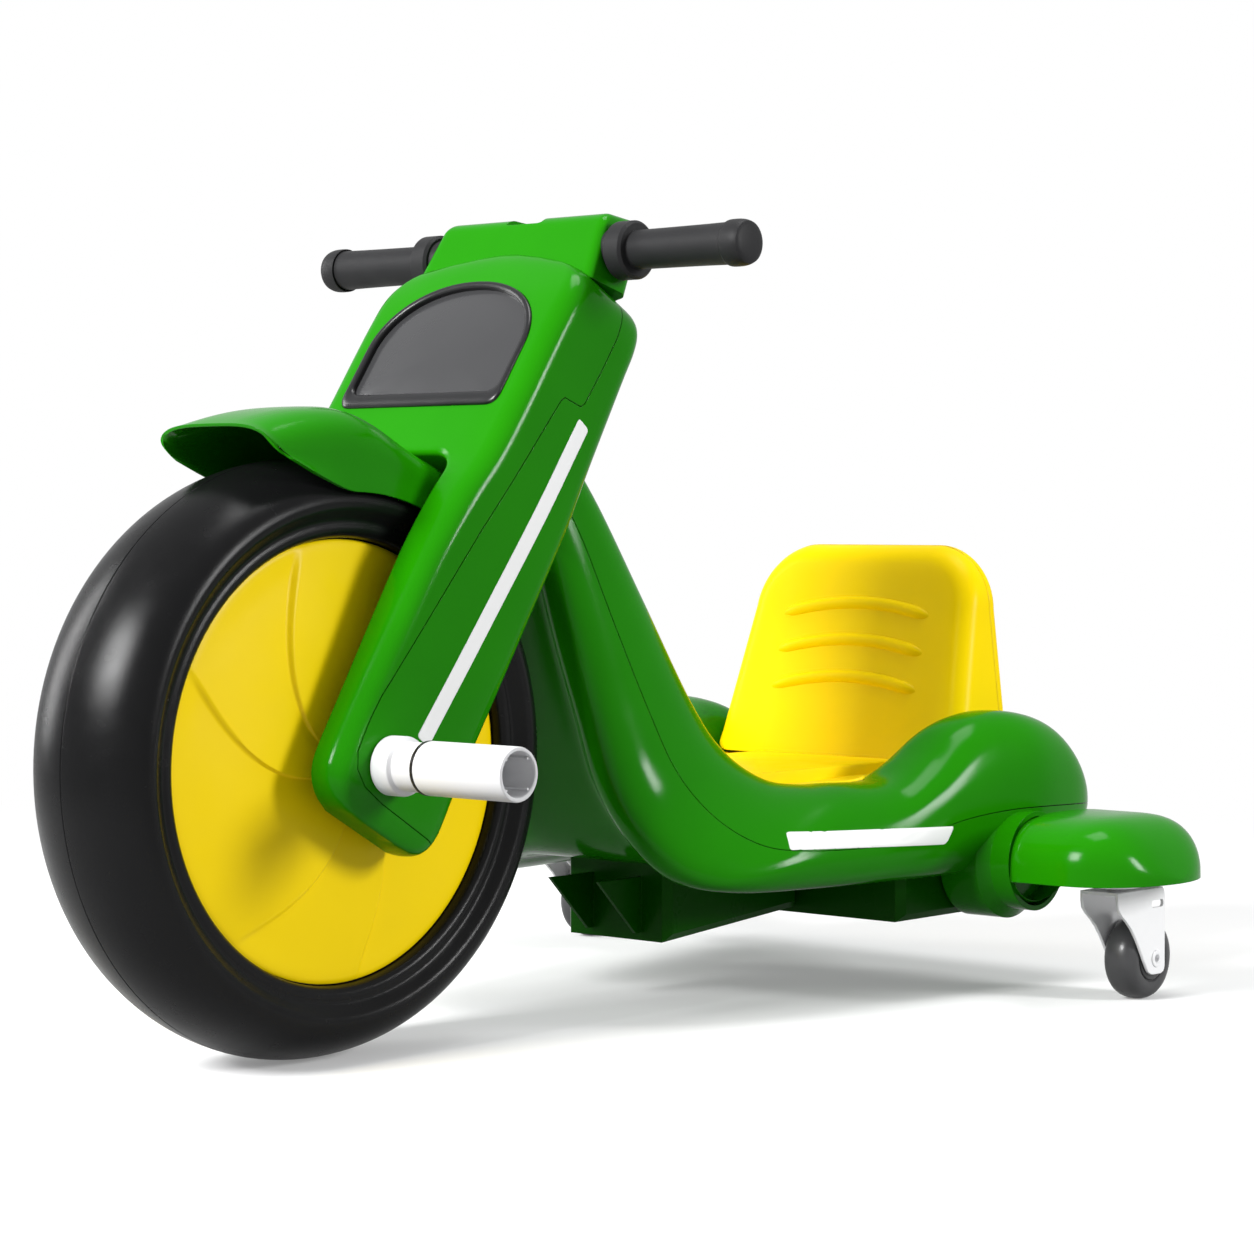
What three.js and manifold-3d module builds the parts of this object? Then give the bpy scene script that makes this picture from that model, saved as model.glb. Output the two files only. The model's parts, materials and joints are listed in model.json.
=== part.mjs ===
// Drift trike: a big front wheel steered by a moulded fork and console, a moulded
// scooter body with a seat, and two small swivel castors under arms at the back.
// Millimetres, +Z up, the front faces -Y, the origin is on the floor under the middle.
import * as THREE from 'three';
import { mergeVertices } from 'three/addons/utils/BufferGeometryUtils.js';
import Module from 'manifold-3d';

const wasm = await Module();
wasm.setup();

// Clearances and fineness
const seatGap = 0.3;
const overrun = 40;
const mergeDistance = 0.001;
const cleanDistance = 0.04;
const roundSteps = 16;
const wheelSteps = 32;

// Front wheel
const wheelRadius = 204;
const tyreHalfWidth = 55;
const tyreShoulderDepth = 30;
const tyreRoundness = 1.85;
const tyreBeadRadius = 150.5;
const tyreBeadHalfWidth = 40;
const tyreLipDepth = 3.3;
const tyreWall = 5;
const rimRingThickness = 4;
const rimWebThickness = 5;
const hubRadius = 17;
const hubHalfWidth = 53;
const bushWall = 3;
const bushLength = 18;
const bushFlange = 3;
const coverThickness = 3;
const coverCrown = 9;
const creaseStep = 2;
const creaseSwirl = 0.87;
const creaseSwirlPower = 1.3;
const creaseFadeShares = [0.17, 0.12];

// Front axle and foot pegs
const axleRadius = 6;
const spacerRadius = 11;
const pegBossRadius = 20;
const pegBossEnd = 106.5;
const pegNeckRadius = 16.5;
const pegNeckEnd = 125.2;
const pegSpindleRadius = 9;
const pegSpindleEnd = 176;
const pegSleeveRadius = 18;
const pegSleeveWall = 3;
const pegSleeveEnd = 207;
const pegRibCount = 4;
const pegRibWidth = 1.6;
const pegRibHeight = 1.8;
const pegWasherRadius = 13;
const pegWasherThickness = 2;
const pegAxleDepth = 16;

// Steering axis: its lean, where the front axle lies from the middle of the head, and
// how far the axle is ahead of the line that the body's lengths are measured from
const steeringRake = THREE.MathUtils.degToRad(30);
const axleLead = 48;
const axleDrop = 310;
const axleAhead = 6;

// Fork and console, measured from the steering axis
const forkGapHalf = 62;
const legThickness = 28;
const consoleHalf = 99;
const mouldingWall = 4;
const legFront = 92;
const legRear = 24;
const legFoot = 42;
const legShoulderDrop = 165;
const consoleFrontLow = 71;
const consoleFrontHigh = 62;
const consoleLowDrop = 45;
const consoleHighRise = 61;
const consoleTopRise = 95;
const forkEdgeRadius = 14;
const consoleCrown = 5;
const archDrop = 85;
const archCornerRadius = 20;
const seamFromLegFront = 21;
const seamFromLegBottom = 15;
const seamConsoleDepth = 54;
const seamJogDrop = 58;
const neckEntryHalf = 80;
const neckEntryRise = 8;
const legBossRadius = 13;

// Window in the console
const windowHalf = 78;
const windowBottomDrop = 52;
const windowTopRise = 58;
const windowCrownShare = 0.66;
const windowCornerRadius = 10;
const windowFrameBar = 5;
const windowLowerBar = 11;
const windowFrameDepth = 6;
const windowFrameProud = 1.2;
const windowPanelRecess = 3.2;
const windowPanelThickness = 2.5;
const windowPanelCrown = 2.6;
const windowBulgeShares = [1.25, 1.15];

// Handlebar, its cover and grips, measured from the steering axis
const barLead = 24;
const barRise = 112;
const barRadius = 11;
const barWall = 2;
const barHalf = 197;
const gripRadius = 14;
const gripStart = 88;
const gripCollarRadius = 21;
const gripCollarLength = 17;
const gripBulbRadius = 16.5;
const gripBulbCentre = 197;
const gripBulbLengthShare = 0.6;
const gripEndRadiusShare = 0.8;
const podHalf = 77;
const podTopHalf = 68;
const podFront = 43;
const podRear = 20;
const podTopRise = 137;
const podTopBevel = 7;
const podEdgeRadius = 5;
const podNotchHalf = 17;
const podNotchDepth = 5;

// Steering column and head
const stemRadius = 9;
const stemTopRise = 124;
const crownThickness = 10;
const crownHalf = 50;
const crownFront = 30;
const crownCollarRadius = 15;
const headTubeRadius = 16;
const headTubeWall = 3;
const headTopDrop = 10;
const headTubeDrop = 66;
const headBushLength = 20;
const headBushFlange = 4;
const headBlockRadius = 25;
const stemNutRadius = 14;
const stemNutHeight = 8;
const clampHalf = 16;
const clampWall = 3;

// Mudguard, measured from the wheel's centre
const guardRadius = 239;
const guardRearRadius = 222;
const guardHalf = 59;
const guardThickness = 3;
const guardSkirtDepth = 58;
const guardMouthAngle = THREE.MathUtils.degToRad(-19);
const guardSkirtAngle = THREE.MathUtils.degToRad(-7);
const guardDipAngle = THREE.MathUtils.degToRad(0);
const guardLowAngle = THREE.MathUtils.degToRad(21);
const guardRearAngle = THREE.MathUtils.degToRad(34);
const guardPadHalf = 30;
const guardPadLength = 26;

// Body: its reach behind the front axle, its height and its width
const bodyFront = 172;
const bodyRear = 690;
const bodyTop = 432;
const bodyBottom = 92;
const bodyHalfWidth = 203;
const bodyWall = 4;
const deckHeight = 162;
const linerThickness = 3;
const linerCrestRear = 440;
const linerSideTop = 171;
const linerPlatformHalf = 76;
const linerPlatformRise = 9;
const linerPlatformFront = 382;
const linerPlatformUnderSeat = 57;
const seatRecess = 1.5;

// Seat back
const seatFront = 583;
const seatDepth = 72;
const seatTop = 345;
const seatBottomHalf = 127;
const seatTopHalf = 113;
const seatCornerRadius = 52;
const seatLean = 50;
const seatWall = 4;
const seatEdgeRadius = 16;
const seatCoverDepth = 8;
const seatRibCount = 3;
const seatRibRadius = 4;
const seatRibHalf = 75;
const seatRibTop = 287;
const seatRibPitch = 30;
const seatRibBow = 10;

// Boxes under the body
const frontBoxHalf = 52;
const frontBoxFront = 320;
const frontBoxRear = 478;
const frontBoxBottom = 50;
const frontBoxRearBottom = 63;
const rearBoxSideGap = 4;
const rearBoxAhead = 90;
const rearBoxBehind = 28;
const rearBoxBottom = 58;
const frontBoxTop = 116;
const rearBoxTop = 91.6;
const boxWall = 3;
const boxBevel = 6;
const gussetOut = 24;
const gussetThickness = 3;
const gussetFront = 272;
const gussetTip = 314;
const gussetTipHeight = 56;
const gussetTop = 98;

// Rear cross tube, arm sockets and castor arms
const crossTubeInset = 118;
const crossTubeHeight = 103;
const crossTubeRadius = 12.5;
const crossTubeWall = 2;
const crossTubeEndGap = 6;
const socketProud = 8;
const socketMouthRadius = 38.5;
const socketMouthLength = 21;
const socketStepRadius = 46;
const socketStepLength = 38;
const socketWall = 4;
const armRootRadius = 33;
const armRootDepth = 15;
const armEndReach = 59;
const armFlatMargin = 3;
const armHalfDepth = 75;
const armBottom = 95;
const armTop = 144;
const armWall = 4;
const armBossRadius = 17;

// Castors
const castorReach = 70;
const castorTrail = 33;
const castorWheelRadius = 31.75;
const castorWheelHalf = 12;
const castorCrownShare = 0.55;
const castorCrownPower = 2.4;
const castorHubRadius = 15;
const castorGroove = 1.2;
const castorAxleRadius = 4;
const castorPlateRadius = 27;
const castorPlateThickness = 2.5;
const castorRaceHeight = 4;
const castorRaceRadius = 20;
const castorPinRadius = 5;
const yokeHalf = 17;
const yokeThickness = 2.5;
const yokeTopHeight = 86;
const yokeReach = 21;
const yokeFootRadius = 12;
const yokeSlotLength = 12;
const yokeSlotHeight = 5;
const yokeNeckShares = [0.7, 1.4];
const yokeHeelShare = 0.4;

// Colours
const green = { color: 0x1f8a12, roughness: 0.28, metalness: 0 };
const yellow = { color: 0xf4d400, roughness: 0.42, metalness: 0 };
const tyreBlack = { color: 0x26272a, roughness: 0.5, metalness: 0 };
const gripGrey = { color: 0x3a3b3f, roughness: 0.5, metalness: 0 };
const trimBlack = { color: 0x1b1b1e, roughness: 0.4, metalness: 0 };
const panelGrey = { color: 0x4d4d50, roughness: 0.22, metalness: 0 };
const white = { color: 0xf2f2f0, roughness: 0.35, metalness: 0 };
const zinc = { color: 0xc9ccd0, roughness: 0.3, metalness: 0.9 };
const steel = { color: 0x8d9196, roughness: 0.4, metalness: 0.9 };
const nylon = { color: 0xd9d7cd, roughness: 0.6, metalness: 0 };

// Where the steering head's middle lies, worked out from the wheel
const headAt = new THREE.Vector3(
  0,
  axleLead * Math.cos(steeringRake) + axleDrop * Math.sin(steeringRake) - axleAhead,
  wheelRadius - axleLead * Math.sin(steeringRake) + axleDrop * Math.cos(steeringRake),
);
const steeringPlace = new THREE.Matrix4().makeRotationX(-steeringRake).setPosition(headAt);

// Middle of the whole length, which is the origin
const lengthMiddle = (bodyRear - axleAhead - wheelRadius) / 2;

// The fork's leg, from the gap round the wheel and the axle that it carries
const forkBottomHalf = forkGapHalf + legThickness;
const legDrop = axleDrop + legFoot;

// The seat's back, the top of its leaning face, and the liner's land under it
const seatRear = seatFront + seatDepth;
const seatLeanTop = seatFront + seatLean;
const linerPlatformRear = seatFront + linerPlatformUnderSeat;

// The cross tube ahead of the body's rear end, and the box round it
const crossTubeBack = bodyRear - crossTubeInset;
const rearBoxFront = crossTubeBack - rearBoxAhead;
const rearBoxRear = crossTubeBack + rearBoxBehind;

// From the body's side outwards: the arm socket, the arm's root in it, the castor under
// the arm, the arm's end, and the end of the tube that carries the arm
const socketMouthHalf = bodyHalfWidth + socketProud;
const socketStepHalf = socketMouthHalf - socketMouthLength;
const socketInnerHalf = socketStepHalf - socketStepLength;
const rearBoxHalf = socketInnerHalf - rearBoxSideGap;
const armRootHalf = socketMouthHalf - armRootDepth;
const castorHalf = socketMouthHalf + castorReach;
const armEndHalf = castorHalf + armEndReach;
const armFlatHalf = castorHalf - castorPlateRadius - armFlatMargin;
const crossTubeHalf = castorHalf - castorPlateRadius - crossTubeEndGap;

// Height of the platform that the rider sits on, and of the recess that holds the seat
const platformTop = deckHeight + linerThickness + linerPlatformRise;
const seatBase = platformTop - seatRecess + seatGap;

function signedVolume(positions, faces) {
  let volume = 0;
  const corners = [new THREE.Vector3(), new THREE.Vector3(), new THREE.Vector3()];
  for (let i = 0; i < faces.length; i += 3) {
    corners.forEach((corner, k) => corner.fromArray(positions, 3 * faces[i + k]));
    volume += corners[0].dot(corners[1].clone().cross(corners[2])) / 6;
  }
  return volume;
}

// Turns a closed three.js geometry into a solid with its faces pointing out.
function solidOf(geometry) {
  const bare = geometry.clone();
  bare.deleteAttribute('normal');
  bare.deleteAttribute('uv');
  const merged = mergeVertices(bare, mergeDistance);
  const positions = merged.attributes.position.array;
  const faces = [];
  for (let i = 0; i < merged.index.count; i += 3) {
    const [a, b, c] = [0, 1, 2].map((k) => merged.index.getX(i + k));
    if (a !== b && b !== c && c !== a) faces.push(a, b, c);
  }
  if (signedVolume(positions, faces) < 0) faces.reverse();
  const mesh = new wasm.Mesh({
    numProp: 3,
    vertProperties: Float32Array.from(positions),
    triVerts: Uint32Array.from(faces),
  });
  mesh.merge();
  return new wasm.Manifold(mesh);
}

function geometryOf(solid) {
  const { vertProperties, triVerts } = solid.getMesh();
  const geometry = new THREE.BufferGeometry();
  geometry.setAttribute('position', new THREE.BufferAttribute(vertProperties, 3));
  geometry.setIndex(new THREE.BufferAttribute(triVerts, 1));
  const flat = geometry.toNonIndexed();
  flat.computeVertexNormals();
  return flat;
}

function part(name, solid, finish) {
  const clean = solid.asOriginal().simplify(cleanDistance);
  const mesh = new THREE.Mesh(geometryOf(clean), new THREE.MeshStandardMaterial(finish));
  mesh.name = name;
  return mesh;
}

// A profile of [radius, distance along the axis] points turned about the X axis.
function turned(profile, steps = roundSteps) {
  const points = profile.map(([radius, along]) => new THREE.Vector2(radius, along));
  points.push(points[0].clone());
  return new THREE.LatheGeometry(points, steps).rotateZ(-Math.PI / 2);
}

function turnedSolid(profile, steps) {
  return solidOf(turned(profile, steps));
}

// A round bar or tube along X from one end to the other.
function barSolid(radius, from, to, bore = 0, steps = roundSteps) {
  return turnedSolid([[bore, from], [radius, from], [radius, to], [bore, to]], steps);
}

// The same along Z.
function postSolid(radius, from, to, bore = 0, steps = roundSteps) {
  const profile = [[bore, from], [radius, from], [radius, to], [bore, to]];
  const geometry = turned(profile, steps).rotateY(-Math.PI / 2);
  return solidOf(geometry);
}

function blockSolid(x0, x1, y0, y1, z0, z1) {
  const geometry = new THREE.BoxGeometry(x1 - x0, y1 - y0, z1 - z0);
  geometry.translate((x0 + x1) / 2, (y0 + y1) / 2, (z0 + z1) / 2);
  return solidOf(geometry);
}

// The corner points of a shape, without the one that repeats the first.
function contourOf(shape, curveSteps) {
  const points = shape.extractPoints(curveSteps).shape;
  const distinct = points.filter((point, i) => (
    point.distanceTo(points[(i + 1) % points.length]) > mergeDistance
  ));
  return THREE.ShapeUtils.isClockWise(distinct) ? distinct.reverse() : distinct;
}

// Moves every point of a contour inwards, square to the two edges that meet there.
function insetContour(contour, distance) {
  return contour.map((point, i) => {
    const before = contour[(i + contour.length - 1) % contour.length];
    const after = contour[(i + 1) % contour.length];
    const entry = point.clone().sub(before).normalize();
    const exit = after.clone().sub(point).normalize();
    const square = new THREE.Vector2(-entry.y - exit.y, entry.x + exit.x).normalize();
    const reach = distance / Math.max(square.dot(new THREE.Vector2(-entry.y, entry.x)), 0.5);
    return point.clone().addScaledVector(square, reach);
  });
}

// A contour in the (Y, Z) plane, extruded to both sides along X, with rounded edges.
function slabRings(contour, half, edge, steps) {
  const quarter = Array.from({ length: steps + 1 }, (_, i) => (Math.PI * i) / (2 * steps));
  const turns = edge > 0 ? [...quarter, ...quarter.slice().reverse()] : [Math.PI / 2, Math.PI / 2];
  return turns.map((turn, i) => {
    const side = i < turns.length / 2 ? -1 : 1;
    const x = side * (half - edge + edge * Math.cos(turn));
    return insetContour(contour, edge * (1 - Math.sin(turn))).map((p) => new THREE.Vector3(x, p.x, p.y));
  });
}

function slabSolid(shape, half, { edge = 0, inset = 0, steps = 2, curveSteps = 6 } = {}) {
  const contour = insetContour(contourOf(shape, curveSteps), inset);
  const caps = THREE.ShapeUtils.triangulateShape(contour, []);
  return solidOf(loft(slabRings(contour, half - inset, Math.max(edge - inset, 0), steps), caps));
}

// A contour in the (X, Z) plane, extruded along Y between two places.
function frontSolid(shape, y0, y1, { inset = 0, curveSteps = 6 } = {}) {
  const contour = insetContour(contourOf(shape, curveSteps), inset);
  const rings = [y0, y1].map((y) => contour.map((p) => new THREE.Vector3(p.x, y, p.y)));
  return solidOf(loft(rings, THREE.ShapeUtils.triangulateShape(contour, [])));
}

function outline(points) {
  return new THREE.Shape(points.map(([a, b]) => new THREE.Vector2(a, b)));
}

// Points of a rounded rectangle that bulges between an ellipse and a box as power grows.
function superellipse(count, power) {
  const points = [];
  for (let i = 0; i < count; i += 1) {
    const angle = (2 * Math.PI * i) / count;
    const c = Math.cos(angle);
    const s = Math.sin(angle);
    const across = Math.sign(c) * Math.abs(c) ** (2 / power);
    const up = Math.sign(s) * Math.abs(s) ** (2 / power);
    points.push([across, up]);
  }
  return points;
}

// A skin through rings of points. An open one is capped with the given faces of a ring,
// or else with a fan; a closed one joins its last ring to its first.
function loft(rings, caps = null, closed = false) {
  const count = rings[0].length;
  const positions = rings.flat().flatMap((p) => [p.x, p.y, p.z]);
  const faces = [];
  const bands = closed ? rings.length : rings.length - 1;
  for (let i = 0; i < bands; i += 1) {
    const next = (i + 1) % rings.length;
    for (let j = 0; j < count; j += 1) {
      const side = (j + 1) % count;
      const [a, b] = [i * count + j, i * count + side];
      const [c, d] = [next * count + j, next * count + side];
      faces.push(a, c, b, b, c, d);
    }
  }
  if (!closed) {
    const fan = Array.from({ length: count - 2 }, (_, j) => [0, j + 1, j + 2]);
    const last = (rings.length - 1) * count;
    (caps ?? fan).forEach(([a, b, c]) => {
      faces.push(a, b, c);
      faces.push(last + a, last + c, last + b);
    });
  }
  const geometry = new THREE.BufferGeometry();
  geometry.setAttribute('position', new THREE.Float32BufferAttribute(positions, 3));
  geometry.setIndex(faces);
  return geometry;
}

function bothSides(solid) {
  const mirrored = geometryOf(solid).scale(-1, 1, 1);
  return solid.add(solidOf(mirrored));
}

// Turns a part made for the +X side half a turn about Z to make the one for the -X side.
function sidePair(name, solid, finish) {
  return ['left', 'right'].map((side) => {
    const mesh = part(`${name}_${side}`, solid, finish);
    const holder = new THREE.Group();
    if (side === 'right') holder.rotation.z = Math.PI;
    holder.add(mesh);
    return holder;
  });
}

// A part for the +X side and its mirror image for the -X side.
function mirrorPair(name, solid, finish) {
  const mirrored = solidOf(geometryOf(solid).scale(-1, 1, 1));
  return [part(`${name}_left`, solid, finish), part(`${name}_right`, mirrored, finish)];
}

// Front wheel

const rimRingRadius = tyreBeadRadius - tyreLipDepth - seatGap;
const rimRingHalf = tyreBeadHalfWidth - coverThickness - seatGap;
const hubBore = axleRadius + bushWall + seatGap;
const beadFlatRadius = tyreBeadRadius * Math.cos(Math.PI / wheelSteps);

function tyreProfile() {
  const widest = wheelRadius - tyreShoulderDepth;
  const outer = [];
  const inner = [];
  const treadShares = [0, 0.28, 0.55, 0.8];
  treadShares.forEach((share) => {
    const angle = (share * Math.PI) / 2;
    const out = Math.sin(angle) ** (2 / tyreRoundness);
    const up = Math.cos(angle) ** (2 / tyreRoundness);
    outer.push([widest + tyreShoulderDepth * up, tyreHalfWidth * out]);
    if (inner.length < 2) {
      inner.push([widest + (tyreShoulderDepth - tyreWall) * up, (tyreHalfWidth - tyreWall) * out]);
    }
  });
  const sidewallShares = [0, 0.45, 1];
  sidewallShares.forEach((share) => {
    const angle = (share * Math.PI) / 2;
    const along = tyreBeadHalfWidth + (tyreHalfWidth - tyreBeadHalfWidth) * Math.cos(angle);
    outer.push([widest - (widest - tyreBeadRadius) * Math.sin(angle), along]);
  });
  inner.push([widest, tyreHalfWidth - tyreWall]);
  const lip = [
    [tyreBeadRadius, rimRingHalf],
    [rimRingRadius + seatGap, rimRingHalf],
    [rimRingRadius + seatGap, rimRingHalf - 2 * tyreWall],
    [tyreBeadRadius + tyreWall, rimRingHalf - tyreWall],
  ];
  const right = [...outer, ...lip, ...inner.slice(1).reverse()];
  const left = right.slice(1).reverse().map(([radius, along]) => [radius, -along]);
  return [...right, inner[0], ...left];
}

function rimProfile() {
  const web = rimWebThickness / 2;
  const ringBore = rimRingRadius - rimRingThickness;
  const side = [
    [hubBore, hubHalfWidth],
    [hubRadius, hubHalfWidth],
    [hubRadius, web],
    [ringBore, web],
    [ringBore, rimRingHalf],
    [rimRingRadius, rimRingHalf],
  ];
  return [...side, ...side.slice().reverse().map(([radius, along]) => [radius, -along])];
}

function coverSolid() {
  const creaseAngles = [-15, -64, -142, -187, -262, -307].map(THREE.MathUtils.degToRad);
  const radiusShares = [0, 0.12, 0.35, 0.6, 0.82, 0.95, 1];
  const rampShares = [0, 0.33, 0.66, 0.97];
  const [fadeIn, fadeOut] = creaseFadeShares;
  const bore = hubRadius + 3 * seatGap;
  const edge = beadFlatRadius - seatGap;
  const rings = [];
  creaseAngles.forEach((start, i) => {
    const following = creaseAngles[(i + 1) % creaseAngles.length];
    const turn = i + 1 < creaseAngles.length ? following - start : following - 2 * Math.PI - start;
    rampShares.forEach((ramp) => {
      const face = radiusShares.map((share) => {
        const radius = bore + (edge - bore) * share;
        const angle = start + turn * ramp - creaseSwirl * (1 - share) ** creaseSwirlPower;
        const fade = Math.min(1, share / fadeIn, (1 - share) / fadeOut);
        const crown = coverCrown * (1 - (radius / edge) ** 2);
        const relief = creaseStep * (ramp - 1) * fade;
        return { radius, angle, along: tyreBeadHalfWidth + crown + relief };
      });
      const back = face.slice().reverse().map((p) => ({ ...p, along: p.along - coverThickness }));
      rings.push([...face, ...back].map(({ radius, angle, along }) => (
        new THREE.Vector3(along, radius * Math.sin(angle), radius * Math.cos(angle))
      )));
    });
  });
  return solidOf(loft(rings, null, true));
}

function wheelParts() {
  const boreRadius = axleRadius + seatGap;
  const flangeRadius = hubRadius;
  const bush = turnedSolid([
    [boreRadius, hubHalfWidth - bushLength],
    [hubBore - seatGap / 2, hubHalfWidth - bushLength],
    [hubBore - seatGap / 2, hubHalfWidth + seatGap],
    [flangeRadius, hubHalfWidth + seatGap],
    [flangeRadius, hubHalfWidth + bushFlange],
    [boreRadius, hubHalfWidth + bushFlange],
  ]);
  return [
    part('front_tyre', turnedSolid(tyreProfile(), wheelSteps), tyreBlack),
    part('wheel_rim', turnedSolid(rimProfile(), wheelSteps), yellow),
    ...sidePair('wheel_cover', coverSolid(), yellow),
    ...sidePair('wheel_bush', bush, nylon),
  ];
}

// Front axle, spacers and foot pegs

function axleParts() {
  const axleEnd = forkBottomHalf + pegAxleDepth;
  const spacerStart = hubHalfWidth + bushFlange + seatGap;
  const spacer = barSolid(
    spacerRadius, spacerStart, forkGapHalf - seatGap, axleRadius + seatGap,
  );
  const pegStart = forkBottomHalf + 2 * seatGap;
  const boreEnd = axleEnd + seatGap;
  const core = turnedSolid([
    [axleRadius + seatGap, pegStart],
    [pegBossRadius, pegStart],
    [pegBossRadius, pegBossEnd],
    [pegNeckRadius, pegBossEnd],
    [pegNeckRadius, pegNeckEnd],
    [pegSpindleRadius, pegNeckEnd],
    [pegSpindleRadius, pegSpindleEnd],
    [0, pegSpindleEnd],
    [0, boreEnd],
    [axleRadius + seatGap, boreEnd],
  ]);
  const washerEnd = pegSpindleEnd + seatGap + pegWasherThickness;
  return [
    part('front_axle', barSolid(axleRadius, -axleEnd, axleEnd), steel),
    ...sidePair('axle_spacer', spacer, steel),
    ...sidePair('peg_core', core, white),
    ...sidePair('peg_sleeve', pegSleeveSolid(), white),
    ...sidePair('peg_washer', barSolid(pegWasherRadius, pegSpindleEnd + seatGap, washerEnd), zinc),
  ];
}

function pegSleeveSolid() {
  const start = pegNeckEnd + seatGap;
  const chamfer = pegSleeveWall / 2;
  const mouthBore = pegSleeveRadius - pegSleeveWall;
  const seatEnd = pegSpindleEnd - seatGap;
  const barrel = turnedSolid([
    [pegSpindleRadius + seatGap, start],
    [pegSleeveRadius - chamfer, start],
    [pegSleeveRadius, start + chamfer],
    [pegSleeveRadius, pegSleeveEnd],
    [mouthBore, pegSleeveEnd],
    [mouthBore, seatEnd],
    [pegSpindleRadius + seatGap, seatEnd],
  ], 20);
  let sleeve = barrel;
  for (let i = 0; i < pegRibCount; i += 1) {
    const rib = new THREE.BoxGeometry(pegSleeveEnd - seatEnd, pegRibWidth, pegRibHeight + chamfer);
    rib.translate((pegSleeveEnd + seatEnd - chamfer) / 2, 0, mouthBore - pegRibHeight / 2 + chamfer / 2);
    rib.rotateX((2 * Math.PI * i) / pegRibCount + Math.PI / pegRibCount);
    sleeve = sleeve.add(solidOf(rib));
  }
  return sleeve;
}

// Fork and console. Local Y is behind the steering axis, local Z is up along it.

// Sections of the fork and console from the leg's foot to the console's top: height
// share, front and rear reach as shares of the greatest ones, how far the half width has
// grown from the leg's to the console's, and the share of it that is left near the ends.
const forkSectionShares = [
  [0.000, 0.720, 0.35, 0.00, 0.935],
  [0.010, 0.870, 0.70, 0.00, 0.974],
  [0.031, 0.965, 0.93, 0.00, 0.995],
  [0.067, 1.000, 1.00, 0.00, 1.000],
  [0.150, 0.995, 1.00, 0.00, 1.000],
  [0.293, 0.985, 1.00, 0.38, 1.000],
  [0.418, 0.967, 1.00, 0.67, 1.000],
  [0.519, 0.910, 1.00, 0.89, 1.000],
  [0.597, 0.826, 1.00, 1.00, 1.000],
  [0.687, 0.772, 0.95, 1.00, 1.000],
  [0.810, 0.728, 0.94, 1.00, 1.000],
  [0.888, 0.690, 0.88, 1.00, 1.000],
  [0.933, 0.652, 0.76, 1.00, 0.970],
  [0.966, 0.598, 0.52, 1.00, 0.880],
  [0.989, 0.543, 0.12, 1.00, 0.740],
  [1.000, 0.489, -0.20, 1.00, 0.586],
];
const crownStartShare = 0.9;

// Points of a rectangle with rounded corners, from its front and rear reach.
function roundedSection(front, rear, half, radius, cornerSteps) {
  const corners = [
    [half - radius, rear - radius],
    [radius - half, rear - radius],
    [radius - half, front + radius],
    [half - radius, front + radius],
  ];
  return corners.flatMap(([x, y], quarter) => (
    Array.from({ length: cornerSteps + 1 }, (_, i) => {
      const angle = (Math.PI / 2) * (quarter + i / cornerSteps);
      return [x + radius * Math.cos(angle), y + radius * Math.sin(angle)];
    })
  ));
}

function forkBlock(inset) {
  const radius = forkEdgeRadius - inset;
  const rings = forkSectionShares.map(([height, front, rear, growth, end]) => {
    const z = THREE.MathUtils.lerp(inset - legDrop, consoleTopRise - inset, height);
    const halfWidth = THREE.MathUtils.lerp(forkBottomHalf, consoleHalf, growth) * end - inset;
    const section = roundedSection(
      inset - front * legFront, rear * legRear - inset, halfWidth, radius, inset > 0 ? 1 : 2,
    );
    const crown = consoleCrown * THREE.MathUtils.smoothstep(height, crownStartShare, 1);
    return section.map(([x, y]) => new THREE.Vector3(x, y, z + crown * (1 - (x / halfWidth) ** 2)));
  });
  return solidOf(loft(rings));
}

function wheelGapSolid(grow) {
  const half = forkGapHalf + grow;
  const top = -archDrop + grow;
  const corner = archCornerRadius;
  const shape = new THREE.Shape();
  shape.moveTo(-half, -legDrop - overrun);
  shape.lineTo(half, -legDrop - overrun);
  shape.lineTo(half, top - corner);
  shape.quadraticCurveTo(half, top, half - corner, top);
  shape.lineTo(corner - half, top);
  shape.quadraticCurveTo(-half, top, -half, top - corner);
  return frontSolid(shape, -legFront - overrun, legRear + overrun, { curveSteps: 4 });
}

function windowShape(inset, lowerInset = inset) {
  const half = windowHalf - inset;
  const bottom = -windowBottomDrop + lowerInset;
  const top = windowTopRise - inset;
  const crown = half * windowCrownShare;
  const corner = windowCornerRadius;
  const shape = new THREE.Shape();
  shape.moveTo(corner - half, bottom);
  shape.lineTo(half - corner, bottom);
  shape.quadraticCurveTo(half - inset / 2, bottom, half, bottom + corner);
  shape.lineTo(half, 0);
  shape.bezierCurveTo(half, top / 2, crown, top, 0, top);
  shape.bezierCurveTo(-crown, top, -half, top / 2, -half, 0);
  shape.lineTo(-half, bottom + corner);
  shape.quadraticCurveTo(inset / 2 - half, bottom, corner - half, bottom);
  return shape;
}

// The console's face leans a little from the steering axis; the window lies in it.
const faceLean = Math.atan2(consoleFrontLow - consoleFrontHigh, consoleLowDrop + consoleHighRise);
const windowPlace = new THREE.Matrix4()
  .makeRotationX(-faceLean)
  .setPosition(0, -(consoleFrontLow + consoleFrontHigh) / 2, (consoleHighRise - consoleLowDrop) / 2);

function placed(solid, matrix) {
  return solidOf(geometryOf(solid).applyMatrix4(matrix));
}

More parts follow.
